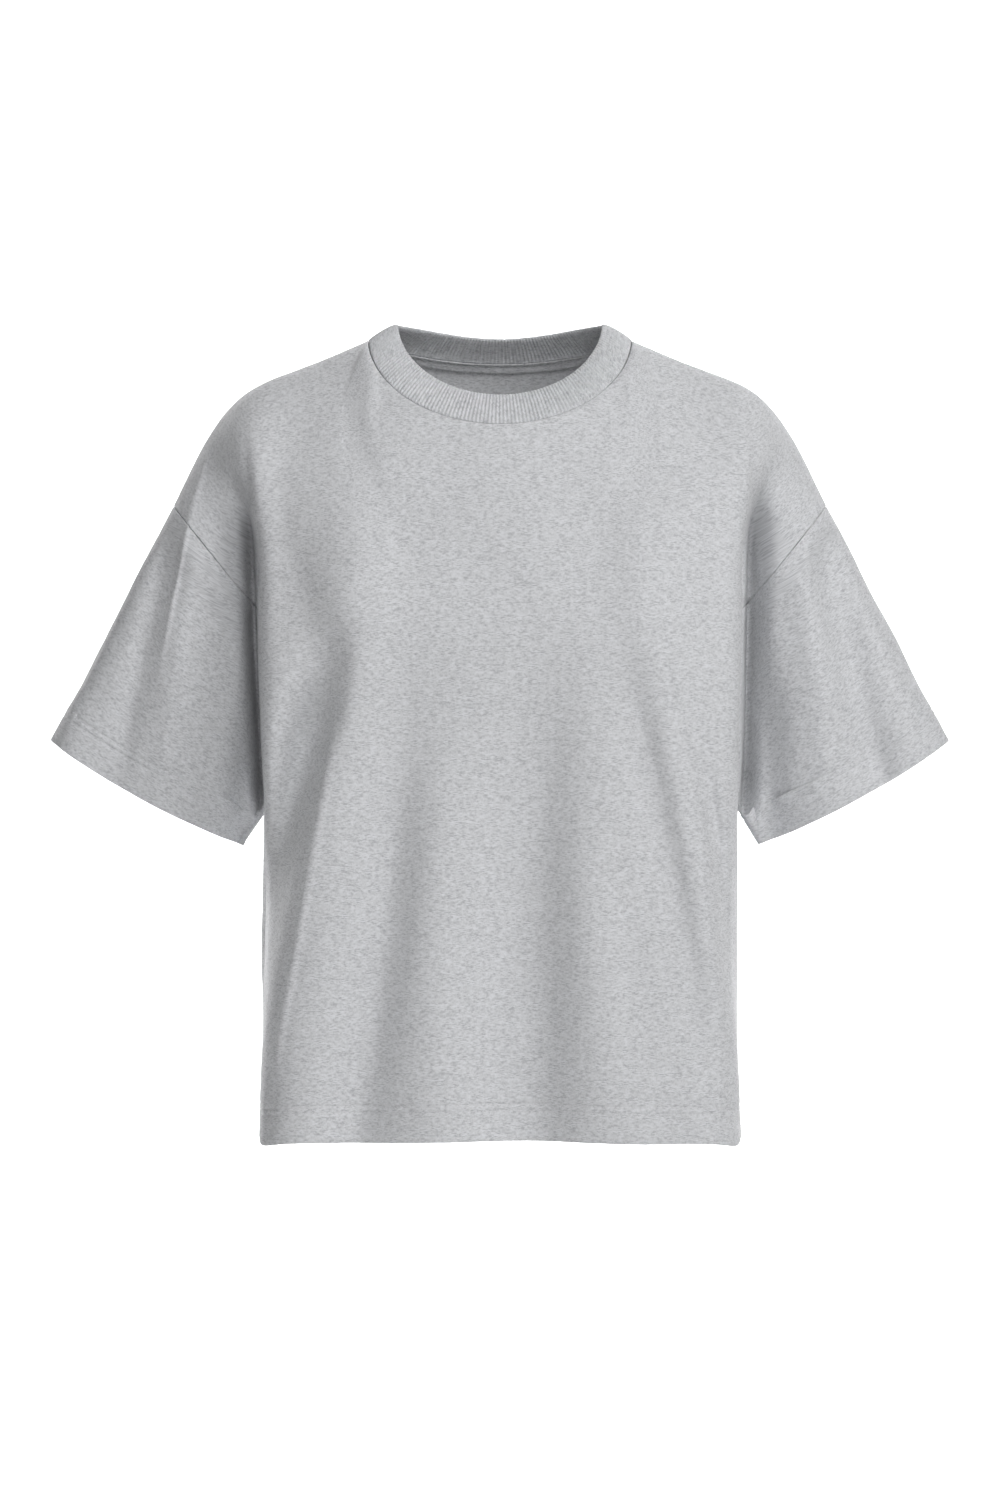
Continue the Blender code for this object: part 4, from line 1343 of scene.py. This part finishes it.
# The paper, in metres: a floor from behind the camera, a bend and a wall behind the shirt.
PAPER_HALF_WIDTH = 9.0
PAPER_HALF_LENGTH = 9.0
PAPER_NEAR = -6.4
PAPER_FLOOR = 9.0
PAPER_BEND = 1.5
PAPER_STEPS = 60


def add_backdrop(stage):
    """Floor and backdrop in one seamless sweep of paper."""
    floor = float(CAD_BOX[0][2]) - stage.floor_drop
    bpy.ops.object.select_all(action="DESELECT")
    bpy.ops.mesh.primitive_grid_add(x_subdivisions=2, y_subdivisions=PAPER_STEPS, size=2)
    sweep = bpy.context.object
    sweep.name = "paper_sweep"
    arc = PAPER_BEND * math.pi / 2
    for vertex in sweep.data.vertices:
        run = (vertex.co.y + 1) * PAPER_HALF_LENGTH
        bend = min(max(run - PAPER_FLOOR, 0.0), arc) / PAPER_BEND
        beyond = max(run - PAPER_FLOOR - arc, 0.0)
        y = PAPER_NEAR + min(run, PAPER_FLOOR) + PAPER_BEND * math.sin(bend)
        z = floor + PAPER_BEND * (1 - math.cos(bend)) + beyond
        vertex.co = (vertex.co.x * PAPER_HALF_WIDTH, y, z)
    bpy.ops.object.shade_smooth()
    sweep.data.materials.append(backdrop_paper("white_seamless_paper"))


# Softboxes round the shirt: name, degrees round from the camera towards the wearer's left, degrees up,
# watts.
SOFTBOXES = (
    ("high_front_softbox", 5, 37, 62),
    ("high_right_softbox", 46, 41, 82),
    ("high_left_softbox", -30, 46, 7),
    ("low_front_softbox", 8, 3, 19),
    ("left_rim", -150, 12, 110),
    ("right_rim", 150, 12, 60),
)
SOFTBOX_DISTANCE = 4.2
SOFTBOX_SIZE = 1.6
AIR_LIGHT = 0.02


def add_area_light(context, name, place, power):
    light = bpy.data.lights.new(name, "AREA")
    light.shape = "SQUARE"
    light.size = SOFTBOX_SIZE
    light.energy = power
    lamp = bpy.data.objects.new(name, light)
    context.scene.collection.objects.link(lamp)
    lamp.location = place
    lamp.rotation_euler = (TARGET - lamp.location).to_track_quat("-Z", "Y").to_euler()


def add_lights(context, stage):
    for name, azimuth, rise, power in SOFTBOXES:
        azimuth, rise = math.radians(azimuth), math.radians(rise)
        way = (math.sin(azimuth) * math.cos(rise), -math.cos(azimuth) * math.cos(rise), math.sin(rise))
        place = TARGET + Vector(way) * SOFTBOX_DISTANCE
        add_area_light(context, name, place, power * stage.light)
    world = bpy.data.worlds.new("studio_air")
    world.use_nodes = True
    air = world.node_tree.nodes["Background"]
    air.inputs["Color"].default_value = (1, 1, 1, 1)
    air.inputs["Strength"].default_value = AIR_LIGHT
    context.scene.world = world
    context.scene.view_settings.view_transform = "Standard"


def add_camera(context):
    camera = bpy.data.cameras.new("camera")
    camera.lens = CAMERA_LENS
    camera.sensor_fit = "VERTICAL"
    camera.sensor_height = SENSOR_HEIGHT
    viewer = bpy.data.objects.new("camera", camera)
    context.scene.collection.objects.link(viewer)
    viewer.location = TARGET + Vector((0, -CAMERA_DISTANCE, 0))
    viewer.rotation_euler = (math.pi / 2, 0, 0)
    context.scene.camera = viewer


class SHIRT_PT_pieces(bpy.types.Panel):
    """Lists the shirt's sizes, colours and pieces"""

    bl_idname = "SHIRT_PT_pieces"
    bl_label = "Crew neck t-shirt"
    bl_space_type = "VIEW_3D"
    bl_region_type = "UI"
    bl_category = "Shirt"

    def draw(self, context):
        layout = self.layout
        for group in ("shirt_sizes", "shirt_colours", "shirt_stage"):
            settings = getattr(context.scene, group)
            box = layout.box()
            for name in settings.__annotations__:
                box.prop(settings, name)
        for operator in OPERATORS:
            layout.operator(operator.bl_idname)


OPERATORS = (SHIRT_OT_front, SHIRT_OT_back, SHIRT_OT_sleeves, SHIRT_OT_neckband, SHIRT_OT_stage)
CLASSES = (ShirtSizes, ShirtColours, ShirtStage, *OPERATORS, SHIRT_PT_pieces)


def register():
    for item in CLASSES:
        bpy.utils.register_class(item)
    bpy.types.Scene.shirt_sizes = PointerProperty(type=ShirtSizes)
    bpy.types.Scene.shirt_colours = PointerProperty(type=ShirtColours)
    bpy.types.Scene.shirt_stage = PointerProperty(type=ShirtStage)


def unregister():
    del bpy.types.Scene.shirt_stage
    del bpy.types.Scene.shirt_colours
    del bpy.types.Scene.shirt_sizes
    for item in reversed(CLASSES):
        bpy.utils.unregister_class(item)


def main():
    register()
    bpy.ops.shirt.front()
    bpy.ops.shirt.back()
    bpy.ops.shirt.sleeves()
    bpy.ops.shirt.neckband()
    bpy.ops.shirt.stage()


if __name__ == "__main__":
    main()
